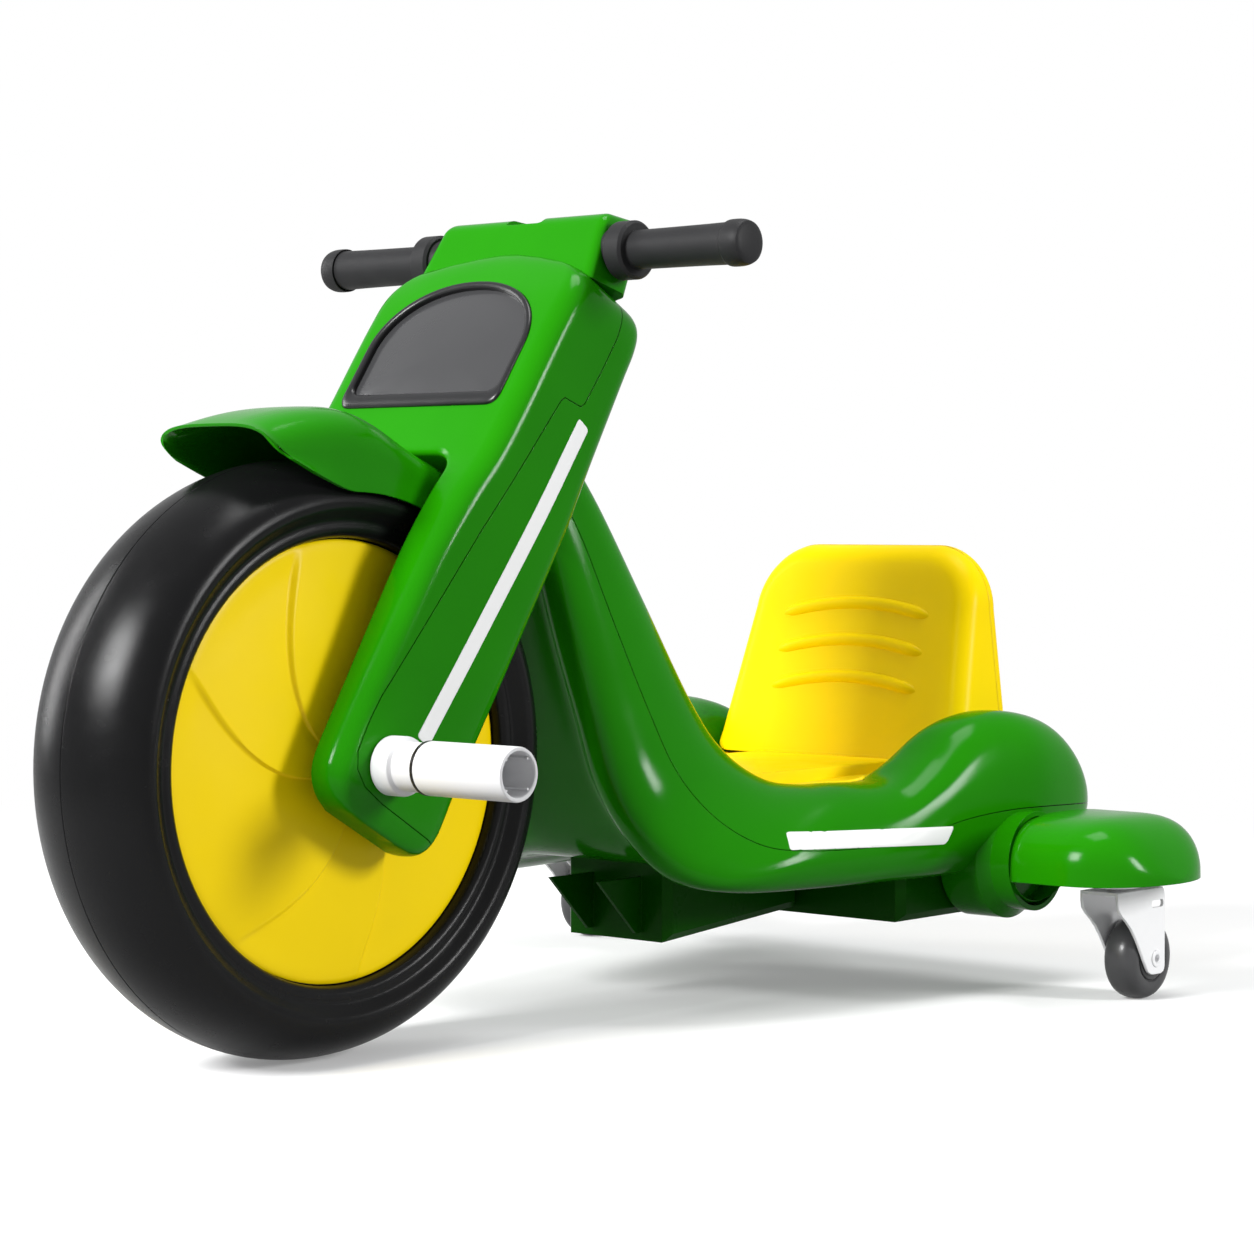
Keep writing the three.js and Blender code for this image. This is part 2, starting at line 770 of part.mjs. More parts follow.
function forkShellSolid() {
  const outer = forkBlock(0);
  const hollow = forkBlock(mouldingWall).subtract(wheelGapSolid(mouldingWall));
  const legBoss = bothSides(barSolid(legBossRadius, forkGapHalf, forkBottomHalf));
  const legBosses = placed(legBoss, new THREE.Matrix4().makeTranslation(0, -axleLead, -axleDrop));
  const axleBore = placed(
    barSolid(axleRadius + seatGap, -forkBottomHalf - overrun, forkBottomHalf + overrun),
    new THREE.Matrix4().makeTranslation(0, -axleLead, -axleDrop),
  );
  const neckEntry = blockSolid(
    -neckEntryHalf, neckEntryHalf,
    0, legRear + overrun,
    -archDrop + mouldingWall, neckEntryRise,
  );
  const roofCut = blockSolid(
    -forkGapHalf, forkGapHalf,
    0, legRear + overrun,
    -archDrop - mouldingWall, -archDrop + 2 * mouldingWall,
  );
  const windowHole = placed(
    frontSolid(windowShape(-seatGap), -overrun / 2, overrun / 2),
    windowPlace,
  );
  const stemHole = postSolid(stemRadius + seatGap, -archDrop - mouldingWall, consoleTopRise + overrun);
  return outer
    .subtract(wheelGapSolid(0))
    .subtract(hollow)
    .add(legBosses)
    .subtract(axleBore)
    .subtract(neckEntry)
    .subtract(roofCut)
    .subtract(windowHole)
    .subtract(stemHole);
}

// Everything in front of the parting line of the fork's two mouldings.
function forkFrontRegion(gap) {
  const seamLeg = -legFront + seamFromLegFront + gap;
  const seamBottom = -legDrop + seamFromLegBottom + gap;
  const seamConsole = -consoleFrontLow + seamConsoleDepth + gap;
  const front = -legFront - overrun;
  const bottom = -legDrop - overrun;
  const shape = new THREE.Shape();
  shape.moveTo(front, bottom);
  shape.lineTo(legRear + overrun, bottom);
  shape.lineTo(legRear + overrun, seamBottom);
  shape.lineTo(seamLeg + seamFromLegFront, seamBottom);
  shape.quadraticCurveTo(seamLeg, seamBottom, seamLeg, seamBottom + seamFromLegFront);
  shape.lineTo(seamLeg, -legShoulderDrop);
  shape.lineTo(seamConsole - seamFromLegFront, -seamJogDrop - gap);
  shape.lineTo(seamConsole, -seamJogDrop - gap);
  shape.lineTo(seamConsole, consoleTopRise + overrun);
  shape.lineTo(front, consoleTopRise + overrun);
  return slabSolid(shape, consoleHalf + overrun);
}

function windowParts() {
  const back = windowFrameDepth - windowFrameProud;
  const ringOuter = frontSolid(windowShape(0), -windowFrameProud, back);
  const ringInner = frontSolid(
    windowShape(windowFrameBar, windowLowerBar), -overrun, windowFrameDepth - windowPanelThickness,
  );
  const rebate = frontSolid(
    windowShape(windowFrameBar / 2, windowLowerBar - windowFrameBar / 2), windowPanelRecess, overrun,
  );
  const frame = placed(ringOuter.subtract(ringInner).subtract(rebate), windowPlace);
  const panel = placed(windowPanelSolid(), windowPlace);
  return [part('window_frame', frame, trimBlack), part('window_panel', panel, panelGrey)];
}

function windowPanelSolid() {
  const shape = windowShape(
    windowFrameBar / 2 + seatGap, windowLowerBar - windowFrameBar / 2 + seatGap,
  );
  const face = windowPanelRecess + seatGap;
  const sheet = frontSolid(shape, face, face + windowPanelThickness);
  const opening = windowShape(windowFrameBar + seatGap, windowLowerBar + seatGap);
  const pillow = frontSolid(opening, face - windowPanelCrown, face + seatGap);
  const [bulgeAcross, bulgeUp] = windowBulgeShares;
  const bulge = new THREE.SphereGeometry(1, roundSteps, roundSteps / 2);
  bulge.scale(windowHalf * bulgeAcross, windowPanelCrown, windowTopRise * bulgeUp);
  bulge.translate(0, face, 0);
  return sheet.add(solidOf(bulge).intersect(pillow));
}

function podParts() {
  const bottom = consoleTopRise + consoleCrown + seatGap;
  const shape = outline([
    [podRear, bottom],
    [podRear, podTopRise - podTopBevel],
    [podRear - podTopBevel, podTopRise],
    [podTopBevel - podFront, podTopRise],
    [-podFront, podTopRise - podTopBevel],
    [-podFront, bottom],
  ]);
  const barPlace = new THREE.Matrix4().makeTranslation(0, -barLead, barRise);
  const barHole = placed(barSolid(barRadius + seatGap, -barHalf, barHalf), barPlace);
  const notch = blockSolid(
    -podNotchHalf, podNotchHalf, -podFront - overrun, -podFront + 2 * podTopBevel,
    podTopRise - podNotchDepth, podTopRise + overrun,
  );
  const openBottom = blockSolid(
    mouldingWall - podHalf, podHalf - mouldingWall, mouldingWall - podFront, podRear - mouldingWall,
    bottom - overrun, bottom + podEdgeRadius,
  );
  const shell = slabSolid(shape, podHalf, { edge: podEdgeRadius })
    .subtract(slabSolid(shape, podHalf, { inset: mouldingWall }))
    .subtract(openBottom)
    .warp((point) => {
      const rise = (point[2] - bottom) / (podTopRise - bottom);
      point[0] *= THREE.MathUtils.lerp(1, podTopHalf / podHalf, rise);
    })
    .subtract(barHole)
    .subtract(notch.subtract(blockSolid(
      -podNotchHalf, podNotchHalf, -podFront + podTopBevel, overrun, 0, podTopRise + 2 * overrun,
    )));
  return [part('handlebar_cover', shell, green)];
}

function gripSolid() {
  const bore = barRadius + seatGap;
  const bulbHalf = gripBulbRadius * gripBulbLengthShare;
  const bulbShares = [0.1, 0.3, 0.5, 0.7, 0.9];
  const bulb = bulbShares.map((share) => {
    const angle = Math.PI * share - Math.PI / 2;
    const radius = gripRadius + (gripBulbRadius - gripRadius) * Math.cos(angle);
    return [radius, gripBulbCentre + bulbHalf * Math.sin(angle)];
  });
  const end = gripBulbCentre + bulbHalf;
  const chamfer = gripCollarLength / 8;
  return turnedSolid([
    [bore, gripStart],
    [gripCollarRadius - chamfer, gripStart],
    [gripCollarRadius, gripStart + chamfer],
    [gripCollarRadius, gripStart + gripCollarLength - chamfer],
    [gripCollarRadius - chamfer, gripStart + gripCollarLength],
    [gripRadius, gripStart + gripCollarLength],
    ...bulb,
    [gripRadius * gripEndRadiusShare, end + chamfer / 2],
    [0, end + chamfer],
    [0, barHalf + seatGap],
    [bore, barHalf + seatGap],
  ]);
}

function handlebarParts() {
  const bar = barSolid(barRadius, -barHalf, barHalf, barRadius - barWall);
  const group = new THREE.Group();
  group.position.set(0, -barLead, barRise);
  group.add(part('handlebar_tube', bar, steel));
  group.add(...sidePair('grip', gripSolid(), gripGrey));
  return [group];
}

// Steering column: a crown plate on the fork's arch, a stem up through the head,
// its nut, and the clamp that holds the handlebar ahead of the stem.
function columnParts() {
  const crownBottom = -archDrop + mouldingWall + seatGap;
  const plate = blockSolid(
    -crownHalf, crownHalf, -crownFront, -seatGap, crownBottom, crownBottom + crownThickness,
  );
  const collar = postSolid(crownCollarRadius, crownBottom, crownBottom + crownThickness);
  const stem = postSolid(stemRadius, -archDrop, stemTopRise);
  const column = plate.add(collar).add(stem);
  const nutBottom = -headTopDrop + headBushFlange + 2 * seatGap;
  const nut = postSolid(stemNutRadius, nutBottom, nutBottom + stemNutHeight, 0, 6)
    .subtract(postSolid(stemRadius + seatGap, nutBottom - seatGap, nutBottom + overrun));
  const clampRadius = stemRadius + clampWall;
  const clampShape = new THREE.Shape();
  clampShape.moveTo(clampRadius, barRise - clampRadius);
  clampShape.lineTo(clampRadius, stemTopRise - clampWall);
  clampShape.absarc(-barLead, barRise, barRadius + clampWall, Math.PI / 2, (3 * Math.PI) / 2, false);
  const clampBlock = slabSolid(clampShape, clampHalf, { curveSteps: 8 });
  const barHole = placed(
    barSolid(barRadius + seatGap, -overrun, overrun),
    new THREE.Matrix4().makeTranslation(0, -barLead, barRise),
  );
  const clamp = clampBlock
    .subtract(barHole)
    .subtract(postSolid(stemRadius + seatGap, 0, stemTopRise + overrun));
  return [
    part('steering_column', column, steel),
    part('stem_nut', nut, zinc),
    part('handlebar_clamp', clamp, steel),
  ];
}

// The mudguard is an arch over the tyre: a ridge with a skirt down each side. Its mouth
// slants back from the ridge to the skirts, and its rear dips to pass under the console.
function mudguardSolid() {
  const stepShares = [0, 0.1, 0.25, 0.42, 0.58, 0.72, 0.86, 1];
  const section = [[0, 0], [0.36, 0.01], [0.66, 0.08], [0.86, 0.24], [0.96, 0.46], [1, 0.72], [1, 1]];
  const mirrored = section.slice(1).reverse().map(([across, fall]) => [-across, fall]);
  const arch = [...mirrored, ...section];
  const rings = stepShares.map((share) => {
    const at = ([across, fall], grow) => {
      const start = THREE.MathUtils.lerp(guardMouthAngle, guardSkirtAngle, fall);
      const angle = THREE.MathUtils.lerp(start, guardRearAngle, share);
      const dip = THREE.MathUtils.smoothstep(angle, guardDipAngle, guardLowAngle);
      const ridge = THREE.MathUtils.lerp(guardRadius, guardRearRadius, dip);
      const depth = guardSkirtDepth - (guardRadius - ridge);
      const radius = ridge + grow * (1 - fall) - depth * fall;
      const x = (guardHalf + grow) * across;
      const lean = angle - steeringRake;
      return new THREE.Vector3(x, radius * Math.sin(lean), radius * Math.cos(lean));
    };
    const outer = arch.map((point) => at(point, 0));
    const inner = arch.slice().reverse().map((point) => at(point, -guardThickness));
    return [...outer, ...inner];
  });
  const last = 2 * arch.length - 1;
  const caps = arch.slice(1).flatMap((_, j) => [[j, j + 1, last - j - 1], [j, last - j - 1, last - j]]);
  const guard = solidOf(loft(rings, caps).translate(0, -axleLead, -axleDrop));
  const padTop = -archDrop - seatGap;
  const padFront = -consoleFrontLow + 2 * forkEdgeRadius;
  const pad = blockSolid(
    -guardPadHalf, guardPadHalf, padFront, padFront + guardPadLength, padTop - overrun, padTop,
  );
  const wheelClear = placed(
    barSolid(guardRearRadius - guardThickness / 2, -overrun, overrun, 0, wheelSteps),
    new THREE.Matrix4().makeTranslation(0, -axleLead, -axleDrop),
  );
  return guard.add(pad.subtract(wheelClear));
}

// Body. Each station of its side view is a line from the lower or front skin to the
// upper or rear skin; the side walls are fat rolls and the deck is a slab between them.
// Shares: lower reach and height, upper reach and height (of the body's length and
// height), outer half width (of the widest), roll half width (of the same), and where
// the underside web and the deck lie between the lower and the upper skin.
const stationShares = [
  [0.000, 0.900, 0.082, 1.000, 0.207, 0.084, 0.20, 0.80],
  [0.023, 0.824, 0.108, 0.938, 0.246, 0.089, 0.20, 0.80],
  [0.049, 0.721, 0.155, 0.826, 0.286, 0.099, 0.18, 0.84],
  [0.076, 0.544, 0.227, 0.632, 0.335, 0.113, 0.15, 0.88],
  [0.104, 0.382, 0.316, 0.403, 0.384, 0.123, 0.12, 0.90],
  [0.127, 0.235, 0.367, 0.297, 0.443, 0.138, 0.11, 0.91],
  [0.151, 0.121, 0.411, 0.235, 0.552, 0.148, 0.12, 0.90],
  [0.193, 0.035, 0.456, 0.219, 0.670, 0.163, 0.15, 0.93],
  [0.267, 0.006, 0.498, 0.221, 0.759, 0.172, 0.20, 0.93],
  [0.411, 0.000, 0.575, 0.224, 0.833, 0.177, 0.22, 0.92],
  [0.527, 0.000, 0.633, 0.271, 0.887, 0.182, 0.20, 0.76],
  [0.633, 0.000, 0.691, 0.338, 0.931, 0.187, 0.18, 0.61],
  [0.730, 0.003, 0.749, 0.366, 0.970, 0.190, 0.20, 0.56],
  [0.815, 0.007, 0.811, 0.365, 1.000, 0.190, 0.19, 0.56],
  [0.892, 0.018, 0.880, 0.341, 0.990, 0.187, 0.18, 0.58],
  [0.946, 0.041, 0.932, 0.297, 0.965, 0.177, 0.20, 0.64],
  [0.981, 0.079, 0.975, 0.229, 0.920, 0.150, 0.25, 0.78],
  [1.000, 0.109, 1.000, 0.165, 0.870, 0.110, 0.35, 0.70],
];

// The stations between the given ones lie on smooth curves through them.
function smoothStations(count) {
  const columns = stationShares[0].map((_, k) => k);
  const curves = columns.map((k) => new THREE.CatmullRomCurve3(
    stationShares.map((row, i) => new THREE.Vector3(i, row[k], 0)), false, 'catmullrom', 0.5,
  ));
  return Array.from({ length: count }, (_, j) => {
    const values = curves.map((curve) => curve.getPoint(j / (count - 1)).y);
    const [lowY, lowZ, upY, upZ, outer, roll, web, deck] = values;
    const length = bodyRear - bodyFront;
    const height = bodyTop - bodyBottom;
    return {
      low: new THREE.Vector3(0, bodyFront + lowY * length, bodyBottom + lowZ * height),
      up: new THREE.Vector3(0, bodyFront + upY * length, bodyBottom + upZ * height),
      outer: outer * bodyHalfWidth,
      roll: roll * bodyHalfWidth,
      web,
      deck,
    };
  });
}

// A ring about one station: across runs along X, up runs from its low to its up point.
function stationRing(station, centre, half, low, up, section) {
  return section.map(([across, rise]) => {
    const share = THREE.MathUtils.lerp(low, up, (rise + 1) / 2);
    const point = station.low.clone().lerp(station.up, share);
    point.x = centre + half * across;
    return point;
  });
}

const rollSection = superellipse(12, 2.5);
const hollowSection = superellipse(8, 2.5);
const squareSection = [[-1, -1], [1, -1], [1, 1], [-1, 1]];

// The side rolls and the deck slab, grown by a distance, or shrunk by a negative one.
function tubSolid(grow, count, section = rollSection) {
  const stations = smoothStations(count);
  const rollRings = stations.map((station) => {
    const depth = station.low.distanceTo(station.up);
    const share = grow / depth;
    const centre = station.outer - station.roll;
    return stationRing(station, centre, station.roll + grow, -share, 1 + share, section);
  });
  const deckRings = smoothStations(count + 3).map((station) => {
    const share = grow / station.low.distanceTo(station.up);
    const half = station.outer - station.roll;
    return stationRing(station, 0, half, station.web - share, station.deck + share, squareSection);
  });
  const roll = solidOf(loft(trimEnds(rollRings, grow)));
  return bothSides(roll).add(solidOf(loft(trimEnds(deckRings, grow))));
}

// Moves the first and last ring of a grown or shrunk loft out or in by the same distance.
function trimEnds(rings, grow) {
  const ends = [[0, 1], [rings.length - 1, rings.length - 2]];
  return rings.map((ring, i) => {
    const pair = ends.find(([end]) => end === i);
    if (!pair) return ring;
    return ring.map((point, j) => {
      const away = point.clone().sub(rings[pair[1]][j]).normalize();
      return point.clone().addScaledVector(away, grow);
    });
  });
}

// Everything on one side of the seam that parts the body, half a gap away from it.
function seamBand(farShare) {
  const rings = smoothStations(bandRows).map((station) => {
    const halfGap = seatGap / 2 / station.low.distanceTo(station.up);
    const near = seamShare + Math.sign(farShare - seamShare) * halfGap;
    const [low, up] = [near, farShare].sort((a, b) => a - b);
    return stationRing(station, 0, station.outer + overrun, low, up, squareSection);
  });
  return solidOf(loft(trimEnds(rings, overrun)));
}

const tubRows = 26;
const hollowRows = 24;
const bandRows = 17;
const seamShare = 0.4;
const bandEndShares = [-0.3, 1.12];
const crossTubePlace = new THREE.Matrix4().makeTranslation(0, crossTubeBack, crossTubeHeight);

function bodyCutters() {
  const sockets = placed(
    bothSides(barSolid(socketStepRadius + seatGap, socketInnerHalf - seatGap, bodyHalfWidth + overrun)),
    crossTubePlace,
  );
  const tube = placed(
    barSolid(crossTubeRadius + seatGap, -bodyHalfWidth - overrun, bodyHalfWidth + overrun),
    crossTubePlace,
  );
  const block = placed(
    postSolid(headBlockRadius + seatGap, -headTubeDrop - seatGap, seatGap - headTopDrop),
    steeringPlace,
  );
  return sockets.add(tube).add(block);
}

function bodyParts() {
  const shell = tubSolid(0, tubRows)
    .subtract(tubSolid(-bodyWall, hollowRows, hollowSection))
    .subtract(bodyCutters());
  const [lower, upper] = bandEndShares.map((share) => shell.intersect(seamBand(share)));
  return [
    part('body_lower_shell', lower, green),
    part('body_upper_shell', upper, green),
    part('deck_liner', linerSolid(), yellow),
  ];
}

// The yellow liner is a skin over the deck. Ahead it reaches the crest of both rolls, and
// beside the seat it stops low on their inner sides.
const linerRows = 18;
const linerCrestShare = 1.35;
const linerDepthShares = [0.05, 1.1];

function linerSolid() {
  const skin = tubSolid(seatGap + linerThickness, linerRows).subtract(tubSolid(seatGap, tubRows));
  const [below, above] = linerDepthShares;
  const rings = smoothStations(linerRows - 3).slice(1, linerRows - 4).map((station) => {
    const half = station.outer - linerCrestShare * station.roll;
    return stationRing(station, 0, half, station.deck - below, above, squareSection);
  });
  const humps = blockSolid(
    -bodyHalfWidth, bodyHalfWidth, linerCrestRear, bodyRear + overrun, linerSideTop, bodyTop,
  );
  const half = linerPlatformHalf;
  const platform = blockSolid(
    -half, half, linerPlatformFront, seatFront - 2 * seatGap, deckHeight, platformTop,
  ).add(blockSolid(
    -half, half, seatFront - 2 * seatGap, linerPlatformRear, deckHeight, platformTop - seatRecess,
  ));
  return skin
    .intersect(solidOf(loft(rings)))
    .subtract(humps)
    .add(platform.subtract(tubSolid(seatGap, tubRows)));
}

// Steering head: a tube in a moulded block, with a flanged bush at each end.
function headParts() {
  const bore = headTubeRadius - headTubeWall;
  const block = postSolid(headBlockRadius, -headTubeDrop, -headTopDrop, headTubeRadius + seatGap);
  const tube = postSolid(headTubeRadius, -headTubeDrop, -headTopDrop, bore);
  const bush = (end, direction) => {
    const edge = end + direction * (headBushFlange + seatGap);
    const seat = end + direction * seatGap;
    const tail = end - direction * headBushLength;
    const profile = [
      [stemRadius + seatGap, edge],
      [headTubeRadius, edge],
      [headTubeRadius, seat],
      [bore - seatGap, seat],
      [bore - seatGap, tail],
      [stemRadius + seatGap, tail],
    ];
    return solidOf(turned(profile).rotateY(-Math.PI / 2));
  };
  const group = new THREE.Group();
  group.applyMatrix4(steeringPlace);
  group.add(part('head_block', block, green));
  group.add(part('head_tube', tube, steel));
  group.add(part('head_bush_upper', bush(-headTopDrop, 1), nylon));
  group.add(part('head_bush_lower', bush(-headTubeDrop, -1), nylon));
  return [group];
}

// Seat back: a hollow wedge with a leaning front, rounded edges and three bowed ribs.
function seatOutline() {
  const corner = seatTopHalf - seatCornerRadius;
  const spring = seatTop - seatCornerRadius;
  const shape = new THREE.Shape();
  shape.moveTo(-seatBottomHalf, seatBase - seatEdgeRadius);
  shape.lineTo(seatBottomHalf, seatBase - seatEdgeRadius);
  shape.lineTo(seatTopHalf, spring);
  shape.absarc(corner, spring, seatCornerRadius, 0, Math.PI / 2, false);
  shape.absarc(-corner, spring, seatCornerRadius, Math.PI / 2, Math.PI, false);
  return shape;
}

// How far back the leaning front face lies at a height.
function seatFace(height) {
  return seatFront + ((height - seatBase) * (seatLeanTop - seatFront)) / (seatTop - seatBase);
}

function seatBlock(inset) {
  const contour = contourOf(seatOutline(), 3);
  const turns = [0, Math.PI / 6, Math.PI / 3, Math.PI / 2];
  const rings = turns.map((turn) => {
    const shrink = inset + seatEdgeRadius * (1 - Math.sin(turn));
    const depth = inset + seatEdgeRadius * (1 - Math.cos(turn));
    return insetContour(contour, shrink).map((p) => new THREE.Vector3(
      p.x, Math.min(seatFace(p.y) + depth, seatRear - inset), p.y,
    ));
  });
  rings.push(rings[rings.length - 1].map((p) => p.clone().setY(seatRear - inset)));
  const half = seatBottomHalf + overrun;
  const above = blockSolid(-half, half, 0, seatRear + overrun, seatBase + inset, seatTop + overrun);
  return solidOf(loft(rings, THREE.ShapeUtils.triangulateShape(contour, []))).intersect(above);
}

function seatRib(height) {
  const reach = seatFace(height);
  const bow = new THREE.QuadraticBezierCurve3(
    new THREE.Vector3(-seatRibHalf, reach, height),
    new THREE.Vector3(0, seatFace(height + 2 * seatRibBow), height + 2 * seatRibBow),
    new THREE.Vector3(seatRibHalf, reach, height),
  );
  const section = outline(superellipse(6, 2).map(([a, b]) => [a * seatRibRadius, b * seatRibRadius]));
  return solidOf(new THREE.ExtrudeGeometry(section, { steps: 8, extrudePath: bow }));
}

function seatParts() {
  const room = tubSolid(linerThickness + 2 * seatGap, linerRows);
  let seat = seatBlock(0).subtract(room).subtract(seatBlock(seatWall));
  for (let i = 0; i < seatRibCount; i += 1) {
    seat = seat.add(seatRib(seatRibTop - i * seatRibPitch));
  }
  const split = seatRear - seatCoverDepth;
  const half = seatBottomHalf + overrun;
  const ahead = blockSolid(-half, half, 0, split - seatGap / 2, 0, seatTop + overrun);
  const behind = blockSolid(-half, half, split + seatGap / 2, seatRear + overrun, 0, seatTop + overrun);
  return [
    part('seat_front_shell', seat.intersect(ahead), yellow),
    part('seat_rear_shell', seat.intersect(behind), yellow),
  ];
}

// Boxes under the deck
function boxSolid(points, half) {
  const shape = outline(points);
  const [, topEdge] = points[points.length - 1];
  const lid = blockSolid(-half, half, 0, rearBoxRear, topEdge - boxBevel - boxWall, topEdge);
  const hollow = slabSolid(shape, half, { edge: boxBevel, inset: boxWall, steps: 1 });
  const outer = slabSolid(shape, half, { edge: boxBevel, steps: 1 });
  return outer.subtract(hollow).subtract(lid);
}

function underboxParts() {
  const spare = boxBevel + boxWall;
  const front = boxSolid([
    [frontBoxFront, frontBoxBottom],
    [frontBoxRear, frontBoxRearBottom],
    [frontBoxRear, frontBoxTop + spare],
    [frontBoxFront, frontBoxTop + spare],
  ], frontBoxHalf).subtract(tubSolid(seatGap, tubRows));
  const rear = boxSolid([
    [rearBoxFront, rearBoxBottom],
    [rearBoxRear, rearBoxBottom],
    [rearBoxRear, rearBoxTop + spare],
    [rearBoxFront, rearBoxTop + spare],
  ], rearBoxHalf);
  const gussetShape = outline([
    [gussetFront, gussetTop],
    [gussetTip, gussetTipHeight],
    [frontBoxFront + boxWall, frontBoxBottom + boxBevel],
    [frontBoxFront + boxWall, gussetTop],
  ]);
  const gusset = slabSolid(gussetShape, gussetThickness / 2);
  const gussets = bothSides(placed(gusset, new THREE.Matrix4().makeTranslation(gussetOut, 0, 0)));
  const tube = placed(
    barSolid(crossTubeRadius + seatGap, -rearBoxHalf - overrun, rearBoxHalf + overrun),
    crossTubePlace,
  );
  return [
    part('underbox_front', front.add(gussets), green),
    part('underbox_rear', rear.subtract(tube), green),
  ];
}

// Arm sockets: stepped horns that open to the side, coaxial with the cross tube.
function socketParts() {
  const tubeBore = crossTubeRadius + seatGap;
  const solid = turnedSolid([
    [tubeBore, socketInnerHalf],
    [socketStepRadius, socketInnerHalf],
    [socketStepRadius, socketStepHalf - socketWall],
    [socketStepRadius - socketWall, socketStepHalf],
    [socketMouthRadius, socketStepHalf + socketWall],
    [socketMouthRadius, socketMouthHalf],
    [socketMouthRadius - socketWall, socketMouthHalf],
    [socketMouthRadius - socketWall, socketInnerHalf + socketWall],
    [tubeBore, socketInnerHalf + socketWall],
  ]);
  const group = new THREE.Group();
  group.position.set(0, crossTubeBack, crossTubeHeight);
  group.add(...mirrorPair('arm_socket', solid, green));
  group.add(part(
    'cross_tube',
    barSolid(crossTubeRadius, -crossTubeHalf, crossTubeHalf, crossTubeRadius - crossTubeWall),
    steel,
  ));
  return [group];
}

// A castor arm: round where it plugs into its socket, then a wide domed trough. The end
// narrows and falls off in plan; the powers say how square its sections are.
const armEndWidthShare = 0.25;
const armEndFallShare = 0.55;
const armEndFallPower = 2.4;
const armRootPower = 2;
const armTroughPower = 3.2;

function armRing(x, inset) {
  const root = THREE.MathUtils.smoothstep(x, socketMouthHalf, armFlatHalf);
  const toEnd = THREE.MathUtils.clamp((x - castorHalf) / (armEndHalf - castorHalf), 0, 1);
  const roundOff = Math.max(Math.sqrt(1 - toEnd ** 2), armEndWidthShare);
  const half = THREE.MathUtils.lerp(armRootRadius, armHalfDepth * roundOff, root) - inset;
  const low = THREE.MathUtils.lerp(crossTubeHeight - armRootRadius, armBottom, root);
  const dome = armTop - (armTop - armBottom) * armEndFallShare * toEnd ** armEndFallPower;
  const top = THREE.MathUtils.lerp(crossTubeHeight + armRootRadius, dome, root) - inset;
  const bottom = inset > 0 ? low - overrun * root + inset * (1 - root) : low;
  const middle = THREE.MathUtils.lerp((top + bottom) / 2, low, root);
  const power = THREE.MathUtils.lerp(armRootPower, armTroughPower, root);
  return superellipse(12, power).map(([across, rise]) => {
    const z = rise > 0 ? middle + (top - middle) * rise : middle + (middle - bottom) * rise;
    return new THREE.Vector3(x, crossTubeBack + half * across, z);
  });
}

function armSolid() {
  const neckShares = [0, 0.38, 1];
  const endShares = [0, 0.42, 0.79, 1];
  const places = [
    armRootHalf,
    ...neckShares.map((share) => THREE.MathUtils.lerp(socketMouthHalf, armFlatHalf, share)),
    ...endShares.map((share) => THREE.MathUtils.lerp(castorHalf, armEndHalf, share)),
  ];
  const block = (inset) => solidOf(loft(places.map((place) => armRing(
    THREE.MathUtils.clamp(place, armRootHalf + inset, armEndHalf - inset), inset,
  ))));
  const outer = block(0);
  const inner = block(armWall);
  const boss = placed(
    postSolid(armBossRadius, armBottom, armTop - armWall / 2),
    new THREE.Matrix4().makeTranslation(castorHalf, crossTubeBack, 0),
  );
  const tubeSleeve = placed(
    barSolid(crossTubeRadius + armWall, armRootHalf, crossTubeHalf + armWall),
    crossTubePlace,
  );
  const tubeBore = placed(
    barSolid(crossTubeRadius + seatGap, armRootHalf - overrun, crossTubeHalf + seatGap),
    crossTubePlace,
  );
  const pinBore = placed(
    postSolid(castorPinRadius + seatGap, 0, armTop - armWall),
    new THREE.Matrix4().makeTranslation(castorHalf, crossTubeBack, 0),
  );
  return outer
    .subtract(inner)
    .add(boss)
    .add(tubeSleeve.intersect(outer))
    .subtract(tubeBore)
    .subtract(pinBore);
}

// Castors: a plate and race under the arm, then a yoke that swivels on the pin and
// carries the wheel behind the pin.
function yokeSolid() {
  const side = new THREE.Shape();
  const foot = castorWheelRadius - yokeTopHeight;
  side.moveTo(-yokeReach, 0);
  side.lineTo(-yokeReach * yokeNeckShares[0], -yokeFootRadius * yokeNeckShares[1]);
  side.lineTo(castorTrail - yokeFootRadius, foot - yokeFootRadius * yokeHeelShare);
  side.quadraticCurveTo(
    castorTrail - yokeFootRadius, foot - yokeFootRadius, castorTrail, foot - yokeFootRadius,
  );
  side.quadraticCurveTo(
    castorTrail + yokeFootRadius, foot - yokeFootRadius, castorTrail + yokeFootRadius, foot,
  );
  side.lineTo(yokeReach, 0);
  const block = slabSolid(side, yokeHalf, { curveSteps: 4 });
  const gap = solidOf(new THREE.BoxGeometry(
    2 * (yokeHalf - yokeThickness), 4 * yokeReach, -2 * (foot - yokeFootRadius),
  ).translate(0, castorTrail / 2, foot - yokeFootRadius - yokeThickness));
  const slot = blockSolid(
    -overrun, overrun, yokeReach / 4 - yokeSlotLength / 2, yokeReach / 4 + yokeSlotLength / 2,
    -yokeThickness - 2 * yokeSlotHeight, -yokeThickness - yokeSlotHeight,
  );
  const axleBore = placed(
    barSolid(castorAxleRadius + seatGap, -overrun, overrun),
    new THREE.Matrix4().makeTranslation(0, castorTrail, foot),
  );
  const pinBore = postSolid(castorPinRadius + seatGap, -overrun / 2, overrun / 2);
  return block.subtract(gap).subtract(slot).subtract(axleBore).subtract(pinBore);
}

